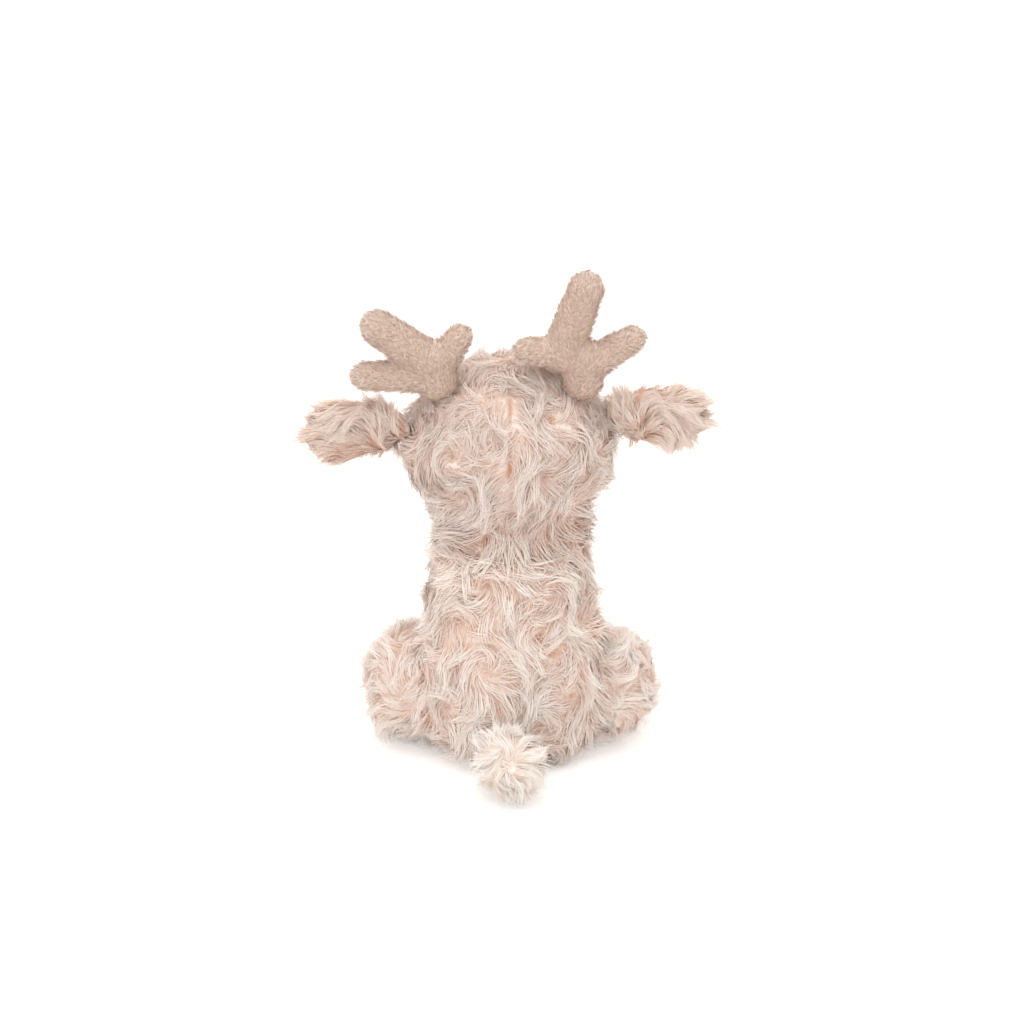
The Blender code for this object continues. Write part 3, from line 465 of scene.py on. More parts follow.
class PileTree:
    """Geometry nodes that grow pile on a skin, in locks that curl over it."""

    AMOUNTS = ("Density", "Lock Density", "Length", "Width", "Lift", "Clump", "Follow", "Spread", "Stray", "Floor")
    FLATNESS = 0.22
    LOOSE_FROM = 0.78
    TUFTED_FROM = 0.62

    def __init__(self, steps: int = 4) -> None:
        """Builds the tree.

        Args:
            steps: How many straight lengths make one strand.
        """
        self.steps = steps
        self.tree = bpy.data.node_groups.new("pile", "GeometryNodeTree")
        kinds = {name: "Float" for name in self.AMOUNTS} | {"Seed": "Int", "Material": "Material"}
        self.sockets = open_sockets(self.tree, kinds)
        self.entry = add_node(self.tree, "NodeGroupInput")
        self.build()

    @property
    def triangles(self) -> int:
        """How many triangles one strand has: three sides and two caps."""
        return self.steps * 6 + 2

    def value(self, name: str) -> Socket:
        """The output socket of one of the tree's named inputs."""
        return self.entry.outputs[name]

    def node(self, kind: str, inputs: dict[Any, Any] | None = None, output: int = 0, **settings: Any) -> Socket:
        """Adds a node and gives one of its outputs.

        Args:
            kind: The node's type.
            inputs: A value or a socket for each input, by name or number.
            output: The number of the output wanted.
            settings: Properties of the node.

        Returns:
            The output's socket.
        """
        return add_node(self.tree, kind, settings, inputs).outputs[output]

    def math(self, operation: str, first: Any, second: Any = 0.0, third: Any = 0.0) -> Socket:
        """One step of arithmetic on fields, by the operation's name."""
        return self.node("ShaderNodeMath", {0: first, 1: second, 2: third}, operation=operation)

    def product(self, first: Any, *factors: Any) -> Socket:
        """Multiplies fields, from left to right.

        Args:
            first: The first field.
            factors: What it is multiplied by.

        Returns:
            The product.
        """
        for factor in factors:
            first = self.math("MULTIPLY", first, factor)
        return first

    def vector(self, operation: str, first: Any, second: Any = None) -> Socket:
        """One step of vector arithmetic on fields.

        Args:
            operation: The operation's name.
            first: The first vector.
            second: The second vector, or the scale.

        Returns:
            The result's socket, a number for a dot product or a distance.
        """
        inputs = {0: first}
        if second is not None:
            inputs[3 if operation == "SCALE" else 1] = second
        output = 1 if operation in ("DOT_PRODUCT", "DISTANCE") else 0
        return self.node("ShaderNodeVectorMath", inputs, output, operation=operation)

    def moved(self, place: Socket, way: Socket, distance: Socket) -> Socket:
        """Moves a place by a distance along a way."""
        return self.vector("ADD", place, self.vector("SCALE", way, distance))

    def named(self, name: str, kind: str = "FLOAT") -> Socket:
        """Reads a named attribute of a kind."""
        return self.node("GeometryNodeInputNamedAttribute", {"Name": name}, data_type=kind)

    def random(self, low: float, high: float, key: Socket, salt: int) -> Socket:
        """A random number for each key.

        Args:
            low: The least value.
            high: The greatest value.
            key: The socket of whole numbers that tell strands or locks apart.
            salt: What keeps this number apart from the others.

        Returns:
            The number's socket.
        """
        seed = self.math("ADD", self.value("Seed"), float(salt))
        return self.node("FunctionNodeRandomValue", {2: low, 3: high, 7: key, 8: seed}, 1, data_type="FLOAT")

    def blend(self, share: Any, first: Any, second: Any, vector: bool = True) -> Socket:
        """Goes from one value to another by a share.

        Args:
            share: The share.
            first: The value at share 0.
            second: The value at share 1.
            vector: Whether they are vectors.

        Returns:
            The value between them.
        """
        inputs = {0: share, (4 if vector else 2): first, (5 if vector else 3): second}
        kind = "VECTOR" if vector else "FLOAT"
        return self.node("ShaderNodeMix", inputs, 1 if vector else 0, data_type=kind, clamp_factor=False)

    def store(self, geometry: Socket, name: str, value: Any, kind: str = "FLOAT") -> Socket:
        """Keeps a field of a kind on the points."""
        inputs = {"Geometry": geometry, "Name": name, "Value": value}
        return self.node("GeometryNodeStoreNamedAttribute", inputs, data_type=kind, domain="POINT")

    def on_skin(self, value: Socket, place: Socket) -> Socket:
        """Samples a vector of the skin where it is nearest to a place."""
        inputs = {0: self.value("Geometry"), 1: value, 3: place}
        return self.node("GeometryNodeSampleNearestSurface", inputs, data_type=VECTOR)

    def roots(self) -> Socket:
        """Scatters the strands' roots and tells each one which lock it belongs to.

        Returns:
            The root points.
        """
        skin, seed = self.value("Geometry"), self.value("Seed")
        density = self.product(self.value("Density"), self.named("growth"))
        scatter = "GeometryNodeDistributePointsOnFaces"
        kept = self.node(scatter, {"Mesh": skin, "Density": density, "Seed": seed})
        other = self.math("ADD", seed, 71.0)
        guides = self.node(scatter, {"Mesh": skin, "Density": self.value("Lock Density"), "Seed": other})
        nearest = self.node("GeometryNodeSampleNearest", {"Geometry": guides})
        up = self.vector("NORMALIZE", self.named("skin_normal", VECTOR))
        kept = self.store(kept, "up", up, VECTOR)
        for name, kind, value in (
            ("lock_root", VECTOR, self.node("GeometryNodeInputPosition")),
            ("lock_comb", VECTOR, self.named("comb", VECTOR)),
            ("lock_curl", "FLOAT", self.named("curl")),
        ):
            sampled = self.node("GeometryNodeSampleIndex", {0: guides, 1: value, 2: nearest}, data_type=kind)
            kept = self.store(kept, name, sampled, kind)
        kept = self.store(kept, "lock_id", nearest, "INT")
        return self.store(kept, "strand_id", self.node("GeometryNodeInputIndex"), "INT")

    def path(self, share: Socket) -> Socket:
        """Where a strand is at a share of its length.

        Args:
            share: How far along the strand the point is, from 0 to 1.

        Returns:
            The place's socket.
        """
        strand, lock = self.named("strand_id", "INT"), self.named("lock_id", "INT")
        up, lock_root = self.named("up", VECTOR), self.named("lock_root", VECTOR)
        root = self.node("GeometryNodeInputPosition")
        follow = self.value("Follow")
        combed = self.blend(follow, self.named("comb", VECTOR), self.named("lock_comb", VECTOR))
        sideways = self.vector("CROSS_PRODUCT", up, combed)
        sway = self.math("ADD", self.random(-1.0, 1.0, strand, 3), self.random(-1.6, 1.6, lock, 4))
        combed = self.moved(combed, sideways, self.product(sway, self.value("Spread")))
        lean = self.vector("DOT_PRODUCT", combed, up)
        ahead = self.vector("NORMALIZE", self.vector("SUBTRACT", combed, self.vector("SCALE", up, lean)))
        aside = self.vector("CROSS_PRODUCT", up, ahead)
        lengths = (self.random(0.72, 1.1, strand, 5), self.random(0.8, 1.15, lock, 6))
        run = self.product(self.value("Length"), self.named("reach"), *lengths, share)
        curl = self.blend(follow, self.named("curl"), self.named("lock_curl"), vector=False)
        bend = self.product(self.math("ADD", curl, self.random(-22.0, 22.0, lock, 7)), run)
        square = self.product(bend, bend)
        lay = self.named("lay")
        forward = self.product(run, self.math("MULTIPLY_ADD", square, -1 / 6, 1.0), lay)
        drift = self.product(run, bend, 0.5, self.math("MULTIPLY_ADD", square, -1 / 12, 1.0), lay)
        place = self.moved(self.moved(root, ahead, forward), aside, drift)
        gather = self.product(self.value("Clump"), self.math("POWER", share, 1.3))
        place = self.moved(place, self.vector("SUBTRACT", lock_root, root), gather)
        return self.raised(place, share, strand, lock, self.vector("DISTANCE", root, lock_root))

    def raised(self, place: Socket, share: Socket, strand: Socket, lock: Socket, off_middle: Socket) -> Socket:
        """Lays a point on the skin and raises it to its height in the pile.

        Args:
            place: The point before it follows the skin.
            share: How far along the strand the point is.
            strand: The strand's number.
            lock: The lock's number.
            off_middle: How far the strand's root is from the middle of its lock.

        Returns:
            The raised place.
        """
        on_skin = self.on_skin(self.node("GeometryNodeInputPosition"), place)
        normal = self.vector("NORMALIZE", self.on_skin(self.named("skin_normal", VECTOR), place))
        rest = self.math("SUBTRACT", 1.0, share)
        arch = self.math("SUBTRACT", 1.0, self.product(rest, rest))
        heights = (self.named("rise"), self.random(0.45, 1.5, lock, 8), self.random(0.75, 1.15, strand, 9))
        height = self.product(self.value("Lift"), arch, *heights)
        height = self.math("MULTIPLY_ADD", off_middle, self.product(share, -0.35), height)
        stray = self.value("Stray")
        loose = self.math("GREATER_THAN", self.random(0.0, 1.0, strand, 10), self.LOOSE_FROM)
        flight = self.product(loose, stray, self.math("POWER", share, 3.0))
        tuft = self.math("GREATER_THAN", self.random(0.0, 1.0, lock, 14), self.TUFTED_FROM)
        flight = self.math("ADD", flight, self.product(tuft, stray, self.math("POWER", share, 2.0)))
        height = self.math("MAXIMUM", self.math("ADD", height, flight), 0.0)
        parts = add_node(self.tree, "ShaderNodeSeparateXYZ", None, {0: self.moved(on_skin, normal, height)})
        above = self.math("MAXIMUM", parts.outputs[2], self.value("Floor"))
        return self.node("ShaderNodeCombineXYZ", {0: parts.outputs[0], 1: parts.outputs[1], 2: above})

    def tone_and_shade(self, share: Socket) -> Socket:
        """How pale each point of a strand is, with painted shade: each lock and strand differs, and lower locks,
        each lock's edge and the hollows are painted warmer as shade.

        Args:
            share: How far along its strand each point is.

        Returns:
            The tone, with its painted shade.
        """
        lock, strand = self.named("lock_id", "INT"), self.named("strand_id", "INT")
        # The lock's share uses the same random number as the lock's height in raised, so lower locks are painted
        # darker as shade; the strand's share is random tone.
        tone_and_shade = self.math("ADD", self.random(0.3, 0.85, lock, 8), self.random(0.0, 0.4, strand, 12))
        # Painted shade in the hollows, partings and hearts, strongest near the root.
        shaded = self.product(self.named("deep"), self.math("SUBTRACT", 1.3, share))
        tone_and_shade = self.math("MULTIPLY_ADD", shaded, -0.6, tone_and_shade)
        root = self.node("GeometryNodeInputPosition")
        off_middle = self.vector("DISTANCE", root, self.named("lock_root", VECTOR))
        # Painted shade at each lock's edge, deeper the further a root lies from the lock's middle.
        return self.math("MULTIPLY_ADD", off_middle, -110.0, tone_and_shade)

    def build(self) -> None:
        """Links roots, paths, tapering and colour values into the tree's output."""
        amount = {"Geometry": self.roots(), "Amount": self.steps + 1}
        copies = add_node(self.tree, "GeometryNodeDuplicateElements", {"domain": "POINT"}, amount)
        share = self.math("DIVIDE", copies.outputs[1], float(self.steps))
        points = self.store(copies.outputs[0], "pile_t", share)
        share, strand = self.named("pile_t"), self.named("strand_id", "INT")
        points = self.store(points, "pile_tone_and_shade", self.tone_and_shade(share))
        points = self.node("GeometryNodeSetPosition", {"Geometry": points, "Position": self.path(share)})
        over = self.on_skin(self.named("skin_normal", VECTOR), self.node("GeometryNodeInputPosition"))
        points = self.store(points, "over", over, VECTOR)
        inputs = {"Points": points, "Curve Group ID": strand, "Weight": share}
        curves = self.node("GeometryNodePointsToCurves", inputs)
        taper = self.math("SUBTRACT", 1.04, self.math("POWER", share, 2.4))
        radius = self.product(self.value("Width"), self.product(taper, 0.5), self.random(0.75, 1.2, strand, 13))
        curves = self.node("GeometryNodeSetCurveRadius", {"Curve": curves, "Radius": 1.0})
        inputs = {"Curve": curves, "Normal": self.named("over", VECTOR)}
        curves = self.node("GeometryNodeSetCurveNormal", inputs, mode="FREE")
        ring = self.node("GeometryNodeCurvePrimitiveCircle", {"Resolution": 3, "Radius": 1.0})
        ring = self.node("GeometryNodeTransform", {"Geometry": ring, "Scale": (self.FLATNESS, 1.0, 1.0)})
        inputs = {"Curve": curves, "Profile Curve": ring, "Scale": radius, "Fill Caps": True}
        mesh = self.node("GeometryNodeCurveToMesh", inputs)
        close_tree(self.tree, mesh, self.value("Material"), smooth=False)


@dataclass
class Skin:
    """A padded form under the pile, with what each of its points knows about the pile."""

    piece: bpy.types.Object
    places: np.ndarray
    normals: np.ndarray

    @classmethod
    def from_object(cls, piece: bpy.types.Object) -> "Skin":
        """Reads an object's points and the directions straight out of them.

        Args:
            piece: The mesh object.

        Returns:
            The skin.
        """
        mesh = piece.data
        count = len(mesh.vertices)
        places = np.empty(count * 3)
        mesh.vertices.foreach_get("co", places)
        normals = np.empty(count * 3)
        mesh.vertex_normals.foreach_get("vector", normals)
        return cls(piece, places.reshape(-1, 3), normals.reshape(-1, 3))

    def keep(self, **fields: np.ndarray | float) -> None:
        """Keeps what each point knows.

        Args:
            fields: One number for the skin, or a number or a vector for each point, by attribute name.
        """
        for name, values in fields.items():
            values = np.full(len(self.places), values) if isinstance(values, float) else values
            kind, key = (VECTOR, "vector") if values.ndim == 2 else ("FLOAT", "value")
            attribute = self.piece.data.attributes.new(name, kind, "POINT")
            attribute.data.foreach_set(key, np.ascontiguousarray(values, dtype=np.float32).ravel())

    def flattened(self, ways: np.ndarray) -> np.ndarray:
        """Takes out of each direction what points straight out of the skin."""
        return ways - self.normals * (ways * self.normals).sum(axis=1, keepdims=True)

    def smoothed(self, values: np.ndarray, rounds: int) -> np.ndarray:
        """Averages a value with its neighbours'.

        Args:
            values: One number for each point.
            rounds: How often.

        Returns:
            The smoothed values.
        """
        edges = np.empty(len(self.piece.data.edges) * 2, dtype=np.int32)
        self.piece.data.edges.foreach_get("vertices", edges)
        ends = edges.reshape(-1, 2)
        count = np.bincount(ends.ravel(), minlength=len(values))
        for _ in range(rounds):
            total = np.bincount(ends[:, 0], values[ends[:, 1]], len(values))
            total += np.bincount(ends[:, 1], values[ends[:, 0]], len(values))
            values = 0.5 * values + 0.5 * total / np.maximum(count, 1)
        return values

    def area(self, growth: np.ndarray) -> float:
        """The skin's area, counted by how much pile grows on each part of it.

        Args:
            growth: The share of full pile at each point.

        Returns:
            The area in square metres.
        """
        mesh = self.piece.data
        mesh.calc_loop_triangles()
        corners = np.empty(len(mesh.loop_triangles) * 3, dtype=np.int32)
        mesh.loop_triangles.foreach_get("vertices", corners)
        corners = corners.reshape(-1, 3)
        a, b, c = (self.places[corners[:, k]] for k in range(3))
        areas = np.linalg.norm(np.cross(b - a, c - a), axis=1) / 2
        return float((areas * growth[corners].mean(axis=1)).sum())


def unit(vectors: np.ndarray) -> np.ndarray:
    """Scales vectors to a length of one."""
    return vectors / np.maximum(np.linalg.norm(vectors, axis=-1, keepdims=True), 1e-9)


def smooth_step(low: float, high: float, values: np.ndarray) -> np.ndarray:
    """Goes smoothly from 0 at the low value to 1 at the high one."""
    share = np.clip((values - low) / (high - low), 0, 1)
    return share * share * (3 - 2 * share)


def steered(comb: np.ndarray, way: np.ndarray, weight: np.ndarray) -> np.ndarray:
    """Turns the pile's directions to another way by a weight."""
    return unit(comb * (1 - weight)[:, None] + way * weight[:, None])


def ellipse(half_width: float, half_depth: float, height: float, sides: int) -> np.ndarray:
    """The points of a level ellipse about the Z axis."""
    turns = np.arange(sides) * 2 * math.pi / sides
    return np.column_stack([half_width * np.cos(turns), half_depth * np.sin(turns), np.full(sides, height)])


@dataclass
class CombField:
    """The curled fabric's pattern: pile that wanders over the skin and winds about hearts, which are sunk, grown
    thinner and painted peach as shade.
    """

    spacing: float = 0.021
    reach: float = 0.0105
    outward: float = 0.30
    heart_radius: float = 0.0026
    wander: float = 0.55
    wander_size: float = 0.034
    winding: float = 2.6
    seed: int = 5
    first: tuple[tuple[float, float, float], ...] = ()

    def centres(self, skin: Skin) -> tuple[np.ndarray, np.ndarray]:
        """Chooses where the hearts are, and which way the pile winds about each one.

        Args:
            skin: The skin that they lie on.

        Returns:
            The centres, and 1 or -1 for each one's winding.
        """
        rng = np.random.default_rng(self.seed)
        chosen: list[np.ndarray] = []
        for place in self.first:
            gaps = np.linalg.norm(skin.places - np.array(place), axis=1)
            chosen.append(skin.places[int(gaps.argmin())])
        for index in rng.permutation(len(skin.places)):
            place = skin.places[index]
            if not chosen or np.linalg.norm(np.array(chosen) - place, axis=1).min() > self.spacing:
                chosen.append(place)
        turns = np.where(rng.random(len(chosen)) < 0.5, -1.0, 1.0)
        return np.array(chosen), turns

    def comb(self, skin: Skin, nap: np.ndarray) -> tuple[np.ndarray, np.ndarray]:
        """Works out the pile's direction and how near a heart each point is.

        Args:
            skin: The skin.
            nap: The direction that the fabric's pile leans in, at each point.

        Returns:
            The directions and the nearness to a heart.
        """
        flat = unit(skin.flattened(nap))
        angle = self.wander * wave_field(skin.places, self.wander_size, self.seed + 7)
        across = np.cross(skin.normals, flat)
        total = flat * np.cos(angle)[:, None] + across * np.sin(angle)[:, None]
        nearest = np.full(len(skin.places), 1.0)
        for centre, turn in zip(*self.centres(skin)):
            away = skin.places - centre
            distance = np.linalg.norm(away, axis=1)
            away = unit(skin.flattened(away))
            weight = self.winding * np.exp(-((distance / self.reach) ** 2))
            around = np.cross(skin.normals, away) * turn
            total += (around + away * self.outward) * weight[:, None]
            nearest = np.minimum(nearest, distance)
        return unit(total), np.exp(-((nearest / self.heart_radius) ** 2))


@dataclass
class LockField:
    """The locks' relief: ridges and partings that run the way the pile is combed."""

    width: float = 0.0058
    step: float = 0.0012
    rounds: int = 26
    relief: float = 0.0011
    heart_depth: float = 0.0013
    most_curl: float = 150.0
    turning_step: float = 0.0035
    turning_rounds: int = 6
    seed: int = 3

    def press(
        self, skin: Skin, comb: np.ndarray, heart: np.ndarray, shade: np.ndarray | float = 0.0
    ) -> np.ndarray:
        """Raises the skin's ridges, sinks its partings and hearts, and keeps how the pile runs and how deep its
        painted shade is.

        Args:
            skin: The skin.
            comb: The pile's direction at each point.
            heart: The nearness to a heart.
            shade: How much painted shade deepens the pile's colour where the form draws in.

        Returns:
            How high each point is on its lock, from 0 to 1.
        """
        lookup = KDTree(len(skin.places))
        for index, place in enumerate(skin.places):
            lookup.insert(place, index)
        lookup.balance()

        def nearest(places: np.ndarray) -> np.ndarray:
            """The point of the skin that is nearest to each place."""
            return np.array([lookup.find(place)[1] for place in places])

        ahead = nearest(skin.places + comb * self.step)
        behind = nearest(skin.places - comb * self.step)
        values = wave_field(skin.places, self.width, self.seed)
        for _ in range(self.rounds):
            values = 0.4 * values + 0.3 * values[ahead] + 0.3 * values[behind]
        values = skin.smoothed(values, 3)
        values = (values - values.mean()) / values.std()
        ridge = np.clip(0.5 + 0.27 * values, 0, 1)
        further = nearest(skin.places + comb * self.turning_step)
        turned = (np.cross(comb, comb[further]) * skin.normals).sum(axis=1)
        gap = np.linalg.norm(skin.places[further] - skin.places, axis=1)
        curl = np.arcsin(np.clip(turned, -1, 1)) / np.maximum(gap, self.turning_step)
        for _ in range(self.turning_rounds):
            curl = 0.4 * curl + 0.3 * curl[ahead] + 0.3 * curl[behind]
        lift = (ridge - 0.5) * 2 * self.relief - heart * self.heart_depth
        skin.places = skin.places + skin.normals * lift[:, None]
        skin.places[:, 2] = np.maximum(skin.places[:, 2], GROUND_GAPS["pressed"])
        skin.piece.data.vertices.foreach_set("co", skin.places.ravel())
        skin.piece.data.update()
        curl = np.clip(curl, -self.most_curl, self.most_curl)
        # deep is painted shade: the pile and the backing darken in the partings below the ridges, at the hearts
        # and by shade.
        deep = np.clip(1.2 * (0.38 - ridge) + 0.9 * heart + shade, 0, 1)
        skin.keep(skin_normal=skin.normals, comb=comb, curl=curl, deep=deep)
        return ridge


def wave_field(places: np.ndarray, size: float, seed: int) -> np.ndarray:
    """A smooth random field, of mean 0 and spread 1.

    Args:
        places: Where it is wanted.
        size: How long its waves are.
        seed: What chooses it.

    Returns:
        Its values.
    """
    rng = np.random.default_rng(seed)
    waves = unit(rng.normal(size=(36, 3))) * (2 * math.pi / size) * rng.uniform(0.6, 1.3, (36, 1))
    return np.sin(places @ waves.T + rng.random(36) * 2 * math.pi).sum(axis=1) / math.sqrt(18)


def tube_mesh(name: str, rings: np.ndarray, material: bpy.types.Material) -> bpy.types.Object:
    """Skins a row of rings into a closed form, with a point at each end's middle.

    Args:
        name: The object's name.
        rings: The rings' points, as an array of rings by points by three.
        material: The form's material.

    Returns:
        The object, linked to the scene.
    """
    count, sides = rings.shape[:2]
    points = [tuple(p) for ring in rings for p in ring]
    points += [tuple(rings[0].mean(axis=0)), tuple(rings[-1].mean(axis=0))]
    faces: list[tuple[int, ...]] = []
    for row in range(count - 1):
        for k in range(sides):
            after = (k + 1) % sides
            base = row * sides
            faces.append((base + k, base + after, base + sides + after, base + sides + k))
    for k in range(sides):
        after = (k + 1) % sides
        faces.append((count * sides, after, k))
        faces.append((count * sides + 1, (count - 1) * sides + k, (count - 1) * sides + after))
    mesh = bpy.data.meshes.new(name)
    mesh.from_pydata(points, [], faces)
    return linked(name, mesh, material)


def linked(name: str, mesh: bpy.types.Mesh, material: bpy.types.Material) -> bpy.types.Object:
    """Puts a mesh into the scene as a smooth piece with outward faces.

    Args:
        name: The piece's name.
        mesh: Its mesh.
        material: Its material.

    Returns:
        The object.
    """
    shape = bmesh.new()
    shape.from_mesh(mesh)
    bmesh.ops.remove_doubles(shape, verts=shape.verts, dist=1e-6)
    bmesh.ops.recalc_face_normals(shape, faces=shape.faces)
    shape.to_mesh(mesh)
    shape.free()
    mesh.shade_smooth()
    mesh.materials.clear()
    mesh.materials.append(material)
    return add_object(name, mesh)


def baked(piece: bpy.types.Object) -> bpy.types.Object:
    """Turns a piece's modifiers into plain mesh.

    Args:
        piece: The piece.

    Returns:
        The same piece, without modifiers.
    """
    bpy.context.view_layer.update()
    graph = bpy.context.evaluated_depsgraph_get()
    mesh = bpy.data.meshes.new_from_object(piece.evaluated_get(graph), depsgraph=graph)
    mesh.name = piece.name
    piece.modifiers.clear()
    piece.data = mesh
    return piece


def inset_rings(rings: np.ndarray, distance: float) -> np.ndarray:
    """Moves a tube's rings in, straight through its surface.

    Args:
        rings: The outer rings.
        distance: How far in.

    Returns:
        The inner rings.
    """
    around = np.roll(rings, -1, axis=1) - np.roll(rings, 1, axis=1)
    along = np.gradient(rings, axis=0)
    normals = unit(np.cross(around, along))
    return rings - normals * distance


@dataclass
class Pile:
    """Grows the pile of one skin and hands it out as pieces of a fair size."""

    tree: PileTree
    material: bpy.types.Material
    sizes: PileSizes

    NEXT_SEED = 101
    SCAFFOLD = ("up", "over", "lock_root", "lock_comb", "lock_curl", "lock_id", "strand_id")

    def grow(self, skin: Skin, name: str, body: str) -> int:
        """Grows the pile in as many pieces as its strands need.

        Args:
            skin: The skin, with its attributes kept.
            name: The pieces' name before their number.
            body: The body that they ride on.

        Returns:
            How many triangles grew.
        """
        mesh = skin.piece.data
        growth = np.empty(len(mesh.vertices), dtype=np.float32)
        mesh.attributes["growth"].data.foreach_get("value", growth)
        area = skin.area(growth)
        pieces = max(1, math.ceil(self.sizes.strands * self.tree.triangles / PIECE_LIMIT))
        triangles = 0
        for number in range(pieces):
            label = name if pieces == 1 else f"{name}_{number + 1}"
            grown = add_object(label, mesh.copy())
            modifier = grown.modifiers.new("pile", "NODES")
            modifier.node_group = self.tree.tree
            values = {name: getattr(self.sizes, name.lower(), None) for name in PileTree.AMOUNTS}
            values["Density"] = self.sizes.strands / pieces / area
            values["Lock Density"] = 1 / self.sizes.lock_area / pieces
            values |= {"Seed": self.sizes.seed + number * self.NEXT_SEED, "Material": self.material}
            for key, value in values.items():
                modifier[self.tree.sockets[key]] = value
            baked(grown)
            for attribute in self.SCAFFOLD:
                found = grown.data.attributes.get(attribute)
                if found is not None:
                    grown.data.attributes.remove(found)
            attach(grown, body)
            grown.data.calc_loop_triangles()
            triangles += len(grown.data.loop_triangles)
            LOG.info("%s: %d triangles", label, len(grown.data.loop_triangles))
        return triangles


@dataclass
class Torso:
    """The torso's padded skin and its curled pile."""

    width: float = 0.087
    depth: float = 0.075
    height: float = 0.0935
    seat_width: float = 0.048
    seat_depth: float = 0.042
    belly_height: float = 0.024
    middle: float = -0.0015
    chest_forward: float = 0.002
    pinch: float = 0.36
    pinch_top: float = 0.6
    rim: float = 0.0338
    pile_depth: float = 0.0026
    sides: int = 176

    def ring(self, height: float) -> np.ndarray:
        """The outer section at a height.

        Args:
            height: The height above the ground.

        Returns:
            The section's points.
        """
        rise = (height - self.belly_height) / (self.height - self.belly_height)
        if rise < 0:
            drop = min(1.0, (self.belly_height - height) / (self.belly_height + 0.0005))
            swell = math.sqrt(1 - drop * drop)
            half_width = (self.seat_width + (self.width - self.seat_width) * swell) / 2
            half_depth = (self.seat_depth + (self.depth - self.seat_depth) * swell) / 2
        else:
            swell = (1 + math.cos(math.pi * min(1.0, rise))) / 2
            half_width = self.rim + (self.width / 2 - self.rim) * swell
            half_depth = self.rim + (self.depth / 2 - self.rim) * swell
        turns = np.arange(self.sides) * 2 * math.pi / self.sides
        narrow = self.pinch * min(1.0, max(0.0, 1 - rise / self.pinch_top))
        across = half_width * np.cos(turns)
        across = np.where(np.sin(turns) < 0, across * (1 - narrow * np.sin(turns) ** 2), across)
        back = self.middle - self.chest_forward * max(0.0, rise) + half_depth * np.sin(turns)
        return np.column_stack([across, back, np.full(self.sides, height)])

    def rings(self) -> np.ndarray:
        """The padded form's sections, from the seat to inside the neck.

        Returns:
            The rings of points, one row for each section.
        """
        drops = 90 - np.linspace(8, 90, 26)
        low = [self.belly_height - (self.belly_height + 0.0005) * math.sin(math.radians(d)) for d in drops]
        high = np.linspace(self.belly_height, self.height, 60)[1:]
        outer = np.stack([self.ring(h) for h in [*low, *high]])
        rings = inset_rings(outer, self.pile_depth)
        rings[:, :, 2] = np.maximum(rings[:, :, 2], GROUND_GAPS["padding"])
        top = rings[-1]
        middle = top.mean(axis=0)
        caps = [middle + (top - middle) * share + [0, 0, lift] for share, lift in ((0.8, 0.003), (0.4, 0.005))]
        return np.concatenate([rings, caps])

    def build(self, finishes: Materials, tree: PileTree) -> None:
        """Builds the skin and grows its pile.

        Args:
            finishes: The toy's materials.
            tree: The pile's geometry nodes.
        """
        piece = tube_mesh("torso_padding", self.rings(), finishes["knitted_backing"])
        skin = Skin.from_object(piece)
        first = (
            (-0.015, 0.036, 0.062),
            (0.012, 0.037, 0.050),
            (0.013, 0.035, 0.086),
            (-0.022, 0.035, 0.055),
            (-0.013, 0.040, 0.020),
            (0.030, 0.030, 0.030),
        )
        nap = np.tile([0.0, 0.0, -1.0], (len(skin.places), 1))
        comb, heart = CombField(seed=11, first=first).comb(skin, nap)
        x, y, z = skin.places.T
        heart *= smooth_step(-0.02, 0.0, y)
        neck = smooth_step(self.height - 0.014, self.height - 0.002, z)
        upwards = np.column_stack([0.5 * np.sin(x * 500), 0.5 * np.cos(x * 430), np.ones_like(x)])
        comb = steered(comb, unit(skin.flattened(upwards)), 0.3 * neck)
        hip = np.column_stack([np.abs(x) - 0.038, y + 0.0085, z - 0.0255])
        crease = (1 - smooth_step(0.024, 0.034, np.linalg.norm(hip, axis=1))) * smooth_step(-0.01, 0.005, y)
        outwards = np.column_stack([np.sign(x), np.zeros_like(x), np.full_like(x, -0.5)])
        comb = steered(comb, unit(skin.flattened(outwards)), 0.6 * crease)
        # 0.5 * neck paints shade into the pile and backing under the head.
        ridge = LockField(seed=12).press(skin, comb, heart, 0.5 * neck)
        growth = np.maximum(0.6 + 0.4 * smooth_step(-0.034, -0.012, y), neck)
        growth *= 0.25 + 0.75 * smooth_step(0.003, 0.010, z)
        growth *= 1 - smooth_step(self.height, self.height + 0.003, z)
        flank = smooth_step(0.026, 0.034, -x) * smooth_step(0.036, 0.050, z) * (1 - smooth_step(0.070, 0.080, z))
        rise = (0.45 + 1.1 * ridge) * (1 - 0.5 * heart) * (1 + 0.4 * neck + 0.9 * crease + 1.2 * flank)
        skin.keep(growth=growth * (1 - 0.35 * heart), reach=1 - 0.1 * neck, rise=rise, lay=1.0)
        declare(piece, "torso", "cream_fur", "torso_skin", "torso_stuffing", "pellet_bag", fill=0.8)
        sizes = PileSizes(strands=17300, length=0.0132, width=0.00042, lift=0.0028, seed=21)
        Pile(tree, finishes["curled_polyester_pile"], sizes).grow(skin, "torso_pile", "torso")


